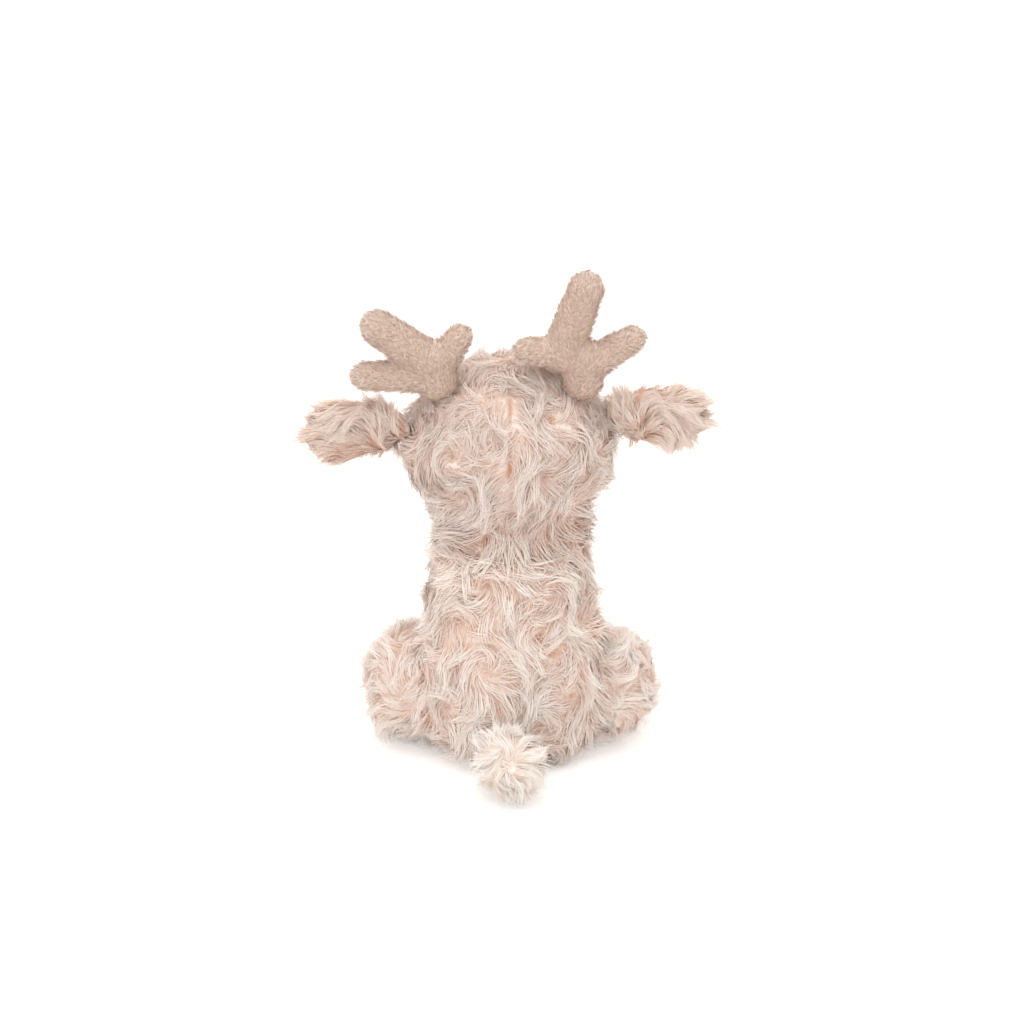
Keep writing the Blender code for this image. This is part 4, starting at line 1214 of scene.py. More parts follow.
@dataclass
class Head:
    """The head's padded skin and its curled pile, with the seam down the middle of its back."""

    neck: tuple[float, float, float] = (0.0, -0.0035, 0.0982)
    middle: tuple[float, float, float] = (0.0, -0.0075, 0.1335)
    width: float = 0.090
    depth: float = 0.084
    crown: float = 0.0415
    jowl: float = 0.037
    neck_radius: float = 0.031
    pile_depth: float = 0.0026
    sides: int = 176
    eye_out: float = 0.0175
    eye_rise: float = 0.0085
    nose: tuple[float, float, float] = (0.0, -0.058, 0.124)
    muzzle: tuple[float, float, float] = (0.0, -0.0476, 0.1225)
    muzzle_radii: tuple[float, float, float] = (0.016, 0.0165, 0.0125)

    def front(self, out: float, height: float) -> float:
        """Where the face's outer surface is, as a Y.

        Args:
            out: How far the point is from the middle plane.
            height: The point's Z.

        Returns:
            The surface's Y.
        """
        half = self.crown if height >= self.middle[2] else self.jowl
        rest = 1 - (2 * out / self.width) ** 2 - ((height - self.middle[2]) / half) ** 2
        return self.middle[1] - self.depth / 2 * math.sqrt(max(0.0, rest))

    def rings(self) -> np.ndarray:
        """The padded form's sections, from inside the neck to the crown.

        Returns:
            The rings of points, one row for each section.
        """
        sections = []
        for angle in np.linspace(-62, 8, 20):
            turn = math.radians(angle)
            half = self.neck_radius * math.cos(turn)
            sections.append((self.neck[1], self.neck[2] + self.neck_radius * math.sin(turn), half, half))
        for angle in np.linspace(-38, 86, 70):
            turn = math.radians(angle)
            reach = self.crown if angle > 0 else self.jowl
            height = self.middle[2] + reach * math.sin(turn)
            cosine = math.cos(turn)
            sections.append((self.middle[1], height, self.width / 2 * cosine, self.depth / 2 * cosine))
        rings = [ellipse(wide, deep, z, self.sides) + [0.0, y, 0.0] for y, z, wide, deep in sections]
        return inset_rings(np.stack(rings), self.pile_depth)

    def build(self, finishes: Materials, tree: PileTree) -> None:
        """Builds the skin and grows its pile.

        Args:
            finishes: The toy's materials.
            tree: The pile's geometry nodes.
        """
        piece = tube_mesh("head_padding", self.rings(), finishes["knitted_backing"])
        skin = Skin.from_object(piece)
        first = (
            (0.022, 0.030, 0.122),
            (0.026, 0.028, 0.142),
            (-0.016, 0.032, 0.135),
            (0.013, 0.034, 0.106),
            (-0.030, 0.026, 0.120),
        )
        nap = np.tile([0.0, 0.0, -1.0], (len(skin.places), 1))
        comb, heart = CombField(seed=4, first=first).comb(skin, nap)
        x, y, z = skin.places.T
        seam = np.exp(-((x / 0.004) ** 2)) * smooth_step(0.012, 0.022, y) * smooth_step(0.108, 0.114, z)
        aside = np.column_stack([np.sign(x), np.zeros_like(x), np.full_like(x, -0.5)])
        comb = steered(comb, aside, 0.8 * seam)
        away = skin.places - np.array(self.nose)
        face = np.exp(-((np.linalg.norm(away, axis=1) / 0.026) ** 2))
        comb = steered(comb, unit(away), face)
        parting = np.exp(-((x / 0.0014) ** 2)) * seam
        beside = np.exp(-((x / 0.0026) ** 2)) * seam
        neck = 1 - smooth_step(0.099, 0.112, z)
        # The seam's parting is sunk and painted deeper as shade, and 0.5 * neck paints shade into the pile at the
        # neck.
        sunk = np.maximum(heart, 0.8 * parting) * (1 - face)
        ridge = LockField(seed=6).press(skin, comb, sunk, 0.5 * neck)
        reach = (1 - 0.5 * face + 0.25 * neck) * (1 - 0.45 * beside)
        rise = (0.45 + 1.1 * ridge) * (1 - 0.5 * heart) * (1 - 0.5 * face) * (1 + 1.2 * neck) * (1 - 0.7 * beside)
        growth = np.ones(len(x))
        eye_height = self.middle[2] + self.eye_rise
        for side in Side:
            spot = np.array([side.value * self.eye_out, self.front(self.eye_out, eye_height), eye_height])
            gap = np.linalg.norm(skin.places - spot, axis=1)
            near = 1 - smooth_step(0.0045, 0.011, gap)
            reach *= 1 - 0.72 * near
            rise *= 1 - 0.6 * near
            growth *= smooth_step(0.0035, 0.0065, gap)
        muzzle_gap = np.linalg.norm((skin.places - np.array(self.muzzle)) / np.array(self.muzzle_radii), axis=1)
        growth *= smooth_step(0.75, 0.95, muzzle_gap)
        growth *= smooth_step(0.088, 0.095, z)
        growth *= 1 - 0.3 * parting
        skin.keep(growth=growth * (1 - 0.35 * heart), reach=reach, rise=rise, lay=1.0)
        declare(piece, "head", "cream_fur", "head_skin", "head_stuffing", fill=0.85)
        sizes = PileSizes(strands=17300, length=0.0126, width=0.0004, lift=0.0028, seed=31)
        Pile(tree, finishes["head_shaded_polyester_pile"], sizes).grow(skin, "head_pile", "head")


def pod_rings(
    root: float, tip: float, length: float, blunt: float, inset: float, low: float, high: float, sides: int
) -> np.ndarray:
    """The sections of a stuffed pod along +Z, with its root ball at the origin.

    Args:
        root: The root ball's radius.
        tip: The tip ball's radius.
        length: From the root ball's middle to the tip ball's.
        blunt: How tall the tip is for its radius.
        inset: How far in the surface lies.
        low: The least height kept.
        high: The greatest height kept.
        sides: How many points a section has.

    Returns:
        The sections, from low to high.
    """
    root, tip = root - inset, tip - inset
    lean = math.asin((root - tip) / length)
    profile = [(root * math.cos(a), root * math.sin(a)) for a in np.linspace(-math.pi / 2 + 0.12, lean, 22)]
    ends = np.linspace(lean, math.pi / 2 - 0.1, 18)
    profile += [(tip * math.cos(a), length + tip * blunt * math.sin(a)) for a in ends]
    radii, heights = np.array(profile).T
    radii = np.interp(np.linspace(0, 1, 90), np.linspace(0, 1, len(radii)), radii)
    heights = np.interp(np.linspace(0, 1, 90), np.linspace(0, 1, len(heights)), heights)
    kept = heights
    if low > heights[0]:
        kept = np.concatenate([[low], heights[heights > low]])
    elif high < heights[-1]:
        kept = np.concatenate([heights[heights < high], [high]])
    radii = np.interp(kept, heights, radii)
    return np.stack([ellipse(radius, radius, height, sides) for radius, height in zip(radii, kept)])


def placed(rings: np.ndarray, root: Vector, along: Vector) -> np.ndarray:
    """Points a form's +Z along a direction, from a root.

    Args:
        rings: The form's sections about the origin.
        root: Where its origin goes.
        along: Where its +Z points.

    Returns:
        The sections in the world.
    """
    turn = np.array(along.to_track_quat("Z", "Y").to_matrix())
    return rings @ turn.T + np.array(root)


@dataclass
class Leg:
    """One leg: padded fur sock with curled pile, and a velour hoof cap."""

    kind: str
    hoof: str
    side: Side
    root: Vector
    along: Vector
    root_radius: float
    tip_radius: float
    length: float
    pile_depth: float
    strands: int
    pile_length: float
    blunt: float = 0.82
    hoof_length: float = 0.013
    velour_depth: float = 0.0009

    @property
    def seam(self) -> float:
        """How far along the leg the hoof begins."""
        return self.length + self.tip_radius * self.blunt - self.hoof_length

    def build(self, finishes: Materials, tree: PileTree, short_tree: PileTree) -> None:
        """Builds the sock, the hoof and their pile.

        Args:
            finishes: The toy's materials.
            tree: The pile's geometry nodes.
            short_tree: The geometry nodes of velour.
        """
        label = self.side.label
        body = f"{self.kind}_{label}"
        shape = (self.root_radius, self.tip_radius, self.length, self.blunt)
        rings = pod_rings(*shape, self.pile_depth, -1.0, self.seam, 96)
        rings = placed(rings, self.root, self.along)
        rings[:, :, 2] = np.maximum(rings[:, :, 2], GROUND_GAPS["padding"])
        piece = tube_mesh(f"{self.kind}_padding_{label}", rings, finishes["knitted_backing"])
        skin = Skin.from_object(piece)
        nap = np.tile(np.array(self.along), (len(skin.places), 1))
        comb, heart = CombField(seed=40 + self.side.value, reach=0.009).comb(skin, nap)
        heart = heart * (self.kind == "hind_leg")
        x, y, z = skin.places.T
        ridge = LockField(seed=44, relief=self.pile_depth * 0.5).press(skin, comb, heart)
        far = (skin.places - np.array(self.root)) @ np.array(self.along)
        seam = self.seam
        inner = smooth_step(0.004, -0.010, self.side.value * (x - self.root.x))
        crease = smooth_step(0.2, 0.8, skin.normals[:, 1]) * inner
        growth = (0.3 + 0.7 * smooth_step(0.003, 0.012, z)) * (1 - smooth_step(seam - 0.0012, seam - 0.0002, far))
        rise = (0.45 + 1.1 * ridge) * (1 - 0.5 * heart) * (1 + crease)
        reach = 1 - 0.45 * smooth_step(seam - 0.011, seam, far)
        skin.keep(growth=growth * (1 - 0.35 * heart), reach=reach, rise=rise, lay=1.0)
        declare(piece, body, "cream_fur", f"{self.kind}_skin_{label}", f"{self.kind}_stuffing_{label}", fill=0.8)
        sizes = PileSizes(self.strands, self.pile_length, width=0.0004, lift=self.pile_depth * 1.1, seed=51)
        Pile(tree, finishes["curled_polyester_pile"], sizes).grow(skin, f"{self.kind}_pile_{label}", body)
        rings = pod_rings(*shape, self.velour_depth, self.seam + 0.0002, 1.0, 40)
        rings = placed(rings, self.root, self.along)
        rings[:, :, 2] = np.maximum(rings[:, :, 2], GROUND_GAPS["cap"])
        cap = tube_mesh(f"{self.hoof}_cap_{label}", rings, finishes["velour_backing"])
        declare(cap, body, "taupe_velour", f"{self.hoof}_{label}", fill=0.8)
        name = f"{self.hoof}_velour_{label}"
        dress_velour(cap, self.along, finishes["taupe_velour_pile"], short_tree, 2200, name, body)


def dress_velour(
    piece: bpy.types.Object,
    along: Vector | Callable[[np.ndarray], np.ndarray],
    material: bpy.types.Material,
    tree: PileTree,
    strands: int,
    name: str,
    body: str,
    length: float = 0.0026,
    growth: np.ndarray | None = None,
) -> None:
    """Grows velour on a form: short pile that leans one way.

    Args:
        piece: The form.
        along: The way that the pile leans, or what works it out for each point.
        material: The pile's material.
        tree: The pile's geometry nodes.
        strands: How many strands grow.
        name: The pile's name.
        body: The body that it rides on.
        length: A strand's length.
        growth: The share of full pile at each point.
    """
    skin = Skin.from_object(piece)
    count = len(skin.places)
    nap = along(skin.places) if callable(along) else np.tile(np.array(along), (count, 1))
    rng = np.random.default_rng(7)
    wander = rng.normal(size=(40, 3)) * 260
    phase = rng.random(40) * 6.28
    curl = np.sin(skin.places @ wander.T + phase).sum(axis=1) * 8
    growth = 1.0 if growth is None else growth
    skin.keep(skin_normal=skin.normals, comb=unit(skin.flattened(nap)), curl=curl, deep=0.0)
    skin.keep(growth=growth, reach=1.0, rise=1.0, lay=1.0)
    sizes = PileSizes(
        strands,
        length,
        width=0.00032,
        lift=0.0010,
        lock_area=0.0000012,
        clump=0.5,
        follow=0.8,
        spread=0.55,
        stray=0.0007,
        seed=61,
    )
    Pile(tree, material, sizes).grow(skin, name, body)


@dataclass
class Ear:
    """One ear: padded fur back with long tufts at its edge, and a velour lining in front."""

    side: Side
    root: Vector
    length: float = 0.0394
    half_width: float = 0.014
    half_thickness: float = 0.0056
    droop: float = 4.0
    pile_depth: float = 0.0022
    sides: int = 72
    scoop_radius: float = 0.045
    scoop_depth: float = 0.0042
    scoop_share: float = 0.6
    far_shares: tuple[float, ...] = (-0.1, 0.0, 0.1, 0.18, 0.3, 0.46, 0.62, 0.76, 0.88, 0.96, 0.99)
    width_shares: tuple[float, ...] = (0.3, 0.42, 0.46, 0.71, 0.9, 0.98, 1.0, 0.96, 0.78, 0.46, 0.25)
    thickness_shares: tuple[float, ...] = (0.7, 1.0, 1.04, 1.02, 1.02, 1.0, 0.97, 0.9, 0.75, 0.45, 0.2)

    @property
    def out(self) -> np.ndarray:
        """The way from the ear's root to its tip."""
        droop = math.radians(self.droop)
        return np.array([self.side.value * math.cos(droop), 0.0, -math.sin(droop)])

    def rings(self, inset: float) -> np.ndarray:
        """The ear's sections from root to tip, with the front hollowed.

        Args:
            inset: How far in the surface lies.

        Returns:
            The sections.
        """
        steps = np.arange(len(self.far_shares))
        fine = np.linspace(0, steps[-1], 52)
        rows = (self.far_shares, self.width_shares, self.thickness_shares)
        shares, widths, thicknesses = (np.interp(fine, steps, np.array(row)) for row in rows)
        droop = math.radians(self.droop)
        up = np.array([self.side.value * math.sin(droop), 0, math.cos(droop)])
        turns = np.arange(self.sides) * 2 * math.pi / self.sides
        reach = self.scoop_radius + self.half_thickness - self.scoop_depth
        ball = self.length * self.scoop_share
        rings = []
        for share, width, thickness in zip(shares, widths, thicknesses):
            sunk = inset * (0.25 + 0.75 * float(smooth_step(0.05, 0.45, np.array(share))))
            tall = max(0.0006, self.half_width * width - sunk)
            deep = max(0.0005, self.half_thickness * thickness - sunk)
            rise = tall * np.cos(turns)
            along = (self.length - inset) * share
            rest = (self.scoop_radius + inset * 0.4) ** 2 - (along - ball) ** 2 - rise**2
            hollow = np.sqrt(np.maximum(rest, 0)) - reach
            y = deep * np.sin(turns)
            y = np.where(y < 0, np.minimum(np.maximum(y, hollow), 0.0006), y)
            middle = np.array(self.root) + self.out * along
            rings.append(middle + np.outer(rise, up) + np.outer(y, [0, 1, 0]))
        return np.stack(rings)

    def build(self, finishes: Materials, tree: PileTree, short_tree: PileTree) -> None:
        """Builds the ear's padding, its pile and its lining.

        Args:
            finishes: The toy's materials.
            tree: The pile's geometry nodes.
            short_tree: The geometry nodes of velour.
        """
        label = self.side.label
        body = f"ear_{label}"
        piece = tube_mesh(f"ear_padding_{label}", self.rings(self.pile_depth), finishes["knitted_backing"])
        skin = Skin.from_object(piece)
        out = self.out
        nap = np.tile(out, (len(skin.places), 1))
        swirls = CombField(seed=70 + self.side.value, spacing=0.017, reach=0.006, wander=0.8, winding=1.2)
        comb, heart = swirls.comb(skin, nap)
        far = (skin.places - np.array(self.root)) @ out / self.length
        front = smooth_step(0.1, 0.6, -skin.normals[:, 1])
        inside = front * smooth_step(0.12, 0.3, far)
        edge = smooth_step(0.55, 0.9, far)
        away = np.column_stack([np.full(len(far), out[0]), np.zeros(len(far)), skin.normals[:, 2] * 0.9])
        comb = steered(comb, unit(away), 0.75 * edge)
        ridge = LockField(seed=77, relief=0.0007, heart_depth=0.0006).press(skin, comb, heart * (1 - inside))
        growth = (1 - 0.96 * inside) * smooth_step(-0.1, 0.02, far)
        rise = (0.45 + 1.1 * ridge) * (1 - 0.3 * heart) * (1 + 0.5 * edge)
        skin.keep(growth=growth, reach=1 + 0.1 * edge, rise=rise, lay=1.0)
        declare(piece, body, "cream_fur", f"ear_back_{label}", fill=0.5)
        sizes = PileSizes(
            strands=5000,
            length=0.0112,
            width=0.00036,
            lift=0.0028,
            lock_area=0.000006,
            clump=0.55,
            follow=0.75,
            spread=0.2,
            stray=0.0034,
            seed=71,
        )
        Pile(tree, finishes["ear_shaded_polyester_pile"], sizes).grow(skin, f"ear_pile_{label}", body)
        self.build_lining(finishes, short_tree)

    def build_lining(self, finishes: Materials, short_tree: PileTree) -> None:
        """Builds the velour lining in the ear's hollow.

        Args:
            finishes: The toy's materials.
            short_tree: The geometry nodes of velour.
        """
        label = self.side.label
        rings = self.rings(self.pile_depth)
        middle = np.array(self.root) + self.out * self.length * 0.6
        shrunk = middle + (rings - middle) * np.array([0.8, 0.3, 0.84])
        shrunk[:, :, 1] -= 0.0009
        piece = tube_mesh(f"ear_lining_pad_{label}", shrunk[8:-1], finishes["lining_backing"])
        body = f"ear_{label}"
        declare(piece, body, "ear_velour", f"ear_lining_{label}", fill=0.4)
        normals = Skin.from_object(piece).normals
        growth = smooth_step(0.0, 0.3, -normals[:, 1])
        name = f"ear_velour_{label}"
        out = Vector(self.out)
        dress_velour(piece, out, finishes["ear_velour_pile"], short_tree, 2400, name, body, growth=growth)


@dataclass(frozen=True)
class Tine:
    """One padded finger of an antler: its two ends in the antler's own plane, and their radii."""

    start: tuple[float, float]
    end: tuple[float, float]
    base: float
    tip: float


@dataclass
class Antler:
    """One antler: stuffed velour, a palm that carries a main, an inner and an outer tine."""

    side: Side
    root: Vector
    tines: tuple[Tine, ...]
    tilt: float = 8.0
    inset: float = 0.0007
    voxel: float = 0.0008

    def at(self, place: tuple[float, float]) -> Vector:
        """A point of the antler's own plane, in the world."""
        turn = Matrix.Rotation(-math.radians(self.tilt), 3, "X")
        return self.root + turn @ Vector((self.side.value * place[0], 0, place[1]))

    def nap(self, places: np.ndarray) -> np.ndarray:
        """Works out the way to the tip of the nearest tine.

        Args:
            places: The points of the skin.

        Returns:
            A direction for each point.
        """
        ways = np.zeros_like(places)
        for tine in self.tines:
            a, b = np.array(self.at(tine.start)), np.array(self.at(tine.end))
            share = np.clip(((places - a) @ (b - a)) / ((b - a) @ (b - a)), 0, 1)
            gap = np.linalg.norm(places - (a + share[:, None] * (b - a)), axis=1)
            weight = np.exp(-((gap / 0.006) ** 2))
            ways += unit(b - a) * weight[:, None]
        return unit(ways)

    def build(self, finishes: Materials, short_tree: PileTree) -> None:
        """Builds the antler's padding and its velour.

        Args:
            finishes: The toy's materials.
            short_tree: The geometry nodes of velour.
        """
        label = self.side.label
        body = f"antler_{label}"
        shape = bmesh.new()
        for tine in self.tines:
            start = self.at(tine.start)
            along = self.at(tine.end) - start
            rings = pod_rings(tine.base, tine.tip, along.length, 1.0, self.inset, -1.0, 1.0, 36)
            part = tube_mesh("tine", placed(rings, start, along), finishes["velour_backing"])
            shape.from_mesh(part.data)
            bpy.data.objects.remove(part)
        mesh = bpy.data.meshes.new(f"antler_padding_{label}")
        shape.to_mesh(mesh)
        shape.free()
        piece = add_object(f"antler_padding_{label}", mesh)
        remesh = piece.modifiers.new("remesh", "REMESH")
        remesh.mode = "VOXEL"
        remesh.voxel_size = self.voxel
        smooth = piece.modifiers.new("smooth", "SMOOTH")
        smooth.factor = 0.5
        smooth.iterations = 14
        baked(piece)
        piece.data.materials.clear()
        piece.data.materials.append(finishes["velour_backing"])
        piece.data.shade_smooth()
        declare(piece, body, "taupe_velour", f"antler_skin_{label}", f"antler_stuffing_{label}", fill=0.9)
        name, material = f"antler_velour_{label}", finishes["taupe_velour_pile"]
        dress_velour(piece, self.nap, material, short_tree, 8000, name, body, length=0.003)


def make_antler(side: Side) -> Antler:
    """Sets out one antler: the toy's two were sewn on at different turns.

    Args:
        side: The antler's side.

    Returns:
        The antler.
    """
    if side is Side.LEFT:
        palm, main_start, main_end = (0.002, 0.009), (0.0038, 0.0086), (0.0235, 0.0233)
        inner_start, inner_end = (-0.002, 0.009), (-0.0088, 0.0191)
        outer_start, outer_end = (0.002, 0.0022), (0.0298, 0.0019)
    else:
        palm, main_start, main_end = (-0.001, 0.0105), (-0.0083, 0.0124), (0.0008, 0.0399)
        inner_start, inner_end = (-0.0083, 0.0118), (-0.0227, 0.0134)
        outer_start, outer_end = (-0.0017, 0.0042), (0.0197, 0.0181)
    tines = (
        Tine((0.0, 0.0), palm, 0.009, 0.0088),
        Tine(main_start, main_end, 0.0088, 0.0078),
        Tine(inner_start, inner_end, 0.0072, 0.0059),
        Tine(outer_start, outer_end, 0.008, 0.0062),
    )
    return Antler(side, Vector((side.value * 0.029563, 0.006917, 0.167531)), tines)


@dataclass
class Tail:
    """The round tail: a padded ball on a short root, with straight pile that stands out all round."""

    middle: Vector
    radius: float = 0.0152
    length: float = 0.0155
    stem_radius: float = 0.0052
    pile_depth: float = 0.0028

    def build(self, finishes: Materials, tree: PileTree) -> None:
        """Builds the tail and its pile.

        Args:
            finishes: The toy's materials.
            tree: The pile's geometry nodes.
        """
        behind = Vector((0.0, 1.0, 0.0))
        depth = self.pile_depth
        rings = pod_rings(self.stem_radius + depth, self.radius, self.length, 1.0, depth, -1.0, 1.0, 72)
        rings = placed(rings, self.middle - behind * self.length, behind)
        piece = tube_mesh("tail_padding", rings, finishes["tail_backing"])
        skin = Skin.from_object(piece)
        away = skin.places - np.array(self.middle)
        nap = unit(away * np.array([1.0, 0.2, 1.0])) + np.array([-0.1, 0.0, -0.3])
        nap[:, 1] -= 1.2 * (1 - smooth_step(-0.011, 0.0, away[:, 1]))
        swirls = CombField(0.012, 0.004, outward=0.8, winding=1.1, wander=1.0, wander_size=0.011, seed=9)
        comb, _ = swirls.comb(skin, nap)
        locks = LockField(width=0.0042, step=0.0009, rounds=12, relief=0.0011, most_curl=60.0, seed=18)
        ridge = locks.press(skin, comb, np.zeros(len(comb)))
        skin.keep(growth=1.0, reach=1.0, rise=0.5 + ridge, lay=0.75)
        declare(piece, "tail", "cream_fur", "tail_skin", "tail_stuffing", fill=0.8)
        sizes = PileSizes(
            strands=4800,
            length=0.0072,
            width=0.00036,
            lift=0.0032,
            lock_area=0.0000035,
            clump=0.4,
            follow=0.7,
            stray=0.0024,
            seed=81,
        )
        Pile(tree, finishes["straight_polyester_pile"], sizes).grow(skin, "tail_pile", "tail")


@dataclass
class Face:
    """The muzzle, the stitched nose and mouth, and the bead eyes."""

    head: Head
    muzzle_radii: tuple[float, float, float] = (0.016, 0.0165, 0.0125)
    muzzle_drop: float = 0.011
    nose_radii: tuple[float, float, float] = (0.0065, 0.0032, 0.00425)
    nose_angle: float = 24.0
    eye_radius: float = 0.0045
    eye_dome: float = 0.0034
    eye_sink: float = 0.0015

    def muzzle_middle(self) -> np.ndarray:
        """The muzzle's middle, on the face."""
        height = self.head.middle[2] - self.muzzle_drop
        return np.array([0.0, self.head.front(0.0, height), height])

    def ball(self, middle: np.ndarray, radii: tuple[float, float, float], rows: int, sides: int) -> np.ndarray:
        """The sections of an ellipsoid.

        Args:
            middle: Its middle.
            radii: Its radii.
            rows: How many sections.
            sides: How many points a section has.

        Returns:
            The sections.
        """
        angles = np.linspace(-math.pi / 2 + 0.1, math.pi / 2 - 0.1, rows)
        rings = [ellipse(math.cos(a), math.cos(a), math.sin(a), sides) for a in angles]
        return np.stack(rings) * np.array(radii) + middle

    def build(self, finishes: Materials, short_tree: PileTree, thread_tree: "ThreadTree") -> None:
        """Builds every piece of the face.

        Args:
            finishes: The toy's materials.
            short_tree: The geometry nodes of velour.
            thread_tree: The geometry nodes of threads.
        """
        middle = self.muzzle_middle()
        radii = tuple(r - 0.0008 for r in self.muzzle_radii)
        muzzle = tube_mesh("muzzle_padding", self.ball(middle, radii, 30, 48), finishes["lining_backing"])
        declare(muzzle, "head", "taupe_velour", "muzzle", fill=0.8)
        normals = Skin.from_object(muzzle).normals
        growth = smooth_step(-0.2, 0.2, -normals[:, 1])
        back, name, material = Vector((0, 0.5, -0.4)), "muzzle_velour", finishes["ear_velour_pile"]
        dress_velour(muzzle, back, material, short_tree, 4200, name, "head", growth=growth)
        self.build_nose(finishes, thread_tree, middle)
        self.build_mouth(finishes, thread_tree, middle)
        for side in Side:
            self.build_eye(side, finishes)

    def build_nose(self, finishes: Materials, thread_tree: "ThreadTree", middle: np.ndarray) -> None:
        """Builds the padded nose and the satin stitches over it.

        Args:
            finishes: The materials.
            thread_tree: The thread's tree.
            middle: The middle of the muzzle.
        """
        turn = math.radians(self.nose_angle)
        reach = np.array([0, -self.muzzle_radii[1] * math.cos(turn), self.muzzle_radii[2] * math.sin(turn)])
        place = middle + reach
        radii = tuple(r - 0.0002 for r in self.nose_radii)
        pad = tube_mesh("nose_padding", self.ball(place, radii, 20, 32), finishes["nose_thread"])
        declare(pad, "head", "nose_thread", "nose", fill=0.9)
        paths = []
        for row in np.linspace(-0.92, 0.92, 19):
            width = math.sqrt(1 - row * row)
            path = []
            for share in np.linspace(-0.98, 0.98, 15):
                out = share * width
                deep = math.sqrt(max(0.0, 1 - row * row - out * out))
                path.append(place + np.array([out, -deep, row]) * np.array(self.nose_radii))
            paths.append(np.array(path))
        thread_tree.lay(paths, 0.00024, finishes["nose_thread"], "nose_stitches", "head", "nose_thread")

    def build_mouth(self, finishes: Materials, thread_tree: "ThreadTree", middle: np.ndarray) -> None:
        """Builds the mouth's stitched line on the muzzle.

        Args:
            finishes: The materials.
            thread_tree: The thread's tree.
            middle: The middle of the muzzle.
        """
        radii = np.array(self.muzzle_radii) + 0.0004
        paths = []
        down = [(0.0, 0.10 - 0.028 * k) for k in range(12)]
        left = [(0.035 * k, -0.20 - 0.10 * math.sin(math.pi * k / 14)) for k in range(12)]
        right = [(-a, b) for a, b in left]
        for flat in (down, left, right):
            path = []
            for across, height in flat:
                deep = math.sqrt(max(0.0, 1 - across * across - height * height))
                path.append(middle + np.array([across, -deep, height]) * radii)
            paths.append(np.array(path))
        thread_tree.lay(paths, 0.0004, finishes["nose_thread"], "mouth_stitches", "head", "nose_thread")

    def build_eye(self, side: Side, finishes: Materials) -> None:
        """Builds one bead eye and gives its washer a finish.

        Args:
            side: The eye's side.
            finishes: The toy's materials.
        """
        head = self.head
        height = head.middle[2] + head.eye_rise
        surface = Vector((side.value * head.eye_out, head.front(head.eye_out, height), height))
        from_middle = surface - Vector(head.middle)
        halves = (head.width / 2, head.depth / 2, head.crown)
        facing = Vector([from_middle[k] / halves[k] ** 2 for k in range(3)]).normalized()
        seat = surface - facing * self.eye_sink
        ball, dome = self.eye_radius, self.eye_dome
        profile = [(ball * 0.35, -0.009), (ball * 0.35, -0.0008), (ball * 0.97, -0.0006)]
        profile += [(ball * math.cos(a), dome * math.sin(a)) for a in np.linspace(0, math.pi / 2 - 0.08, 16)]
        rings = np.stack([ellipse(radius, radius, z, 40) for radius, z in profile])
        piece = tube_mesh(f"eye_bead_{side.label}", placed(rings, seat, facing), finishes["gloss_acrylic"])
        declare(piece, "head", "black_bead", f"eye_{side.label}")
        for washer_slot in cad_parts[f"eye_washer_{side.label}"].material_slots:
            washer_slot.material = finishes["polyethylene"]


class ThreadTree:
    """Geometry nodes that lay round threads along paths."""

    def __init__(self) -> None:
        """Builds the tree."""
        self.tree = bpy.data.node_groups.new("threads", "GeometryNodeTree")
        tree = self.tree
        self.sockets = open_sockets(tree, {"Radius": "Float", "Material": "Material"})
        entry = add_node(tree, "NodeGroupInput")
        curves = add_node(tree, "GeometryNodeMeshToCurve", None, {"Mesh": entry.outputs["Geometry"]}).outputs[0]
        inputs = {"Resolution": 8, "Radius": 1.0}
        ring = add_node(tree, "GeometryNodeCurvePrimitiveCircle", None, inputs).outputs[0]
        inputs = {"Curve": curves, "Profile Curve": ring, "Scale": entry.outputs["Radius"], "Fill Caps": True}
        tube = add_node(tree, "GeometryNodeCurveToMesh", None, inputs).outputs[0]
        close_tree(tree, tube, entry.outputs["Material"], smooth=True)

    def lay(
        self, paths: list[np.ndarray], radius: float, material: bpy.types.Material, name: str, body: str, slot: str
    ) -> bpy.types.Object:
        """Lays a thread along each path.

        Args:
            paths: The points of each path.
            radius: The thread's radius.
            material: Its material.
            name: The piece's name.
            body: The body that it rides on.
            slot: The record's material slot; not used.

        Returns:
            The piece.
        """
        points: list[tuple[float, ...]] = []
        edges: list[tuple[int, int]] = []
        for path in paths:
            first = len(points)
            points += [tuple(p) for p in path]
            edges += [(first + k, first + k + 1) for k in range(len(path) - 1)]
        mesh = bpy.data.meshes.new(name)
        mesh.from_pydata(points, edges, [])
        piece = add_object(name, mesh)
        modifier = piece.modifiers.new("threads", "NODES")
        modifier.node_group = self.tree
        modifier[self.sockets["Radius"]] = radius
        modifier[self.sockets["Material"]] = material
        baked(piece)
        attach(piece, body)
        LOG.info("%s: %d faces", name, len(piece.data.polygons))
        return piece


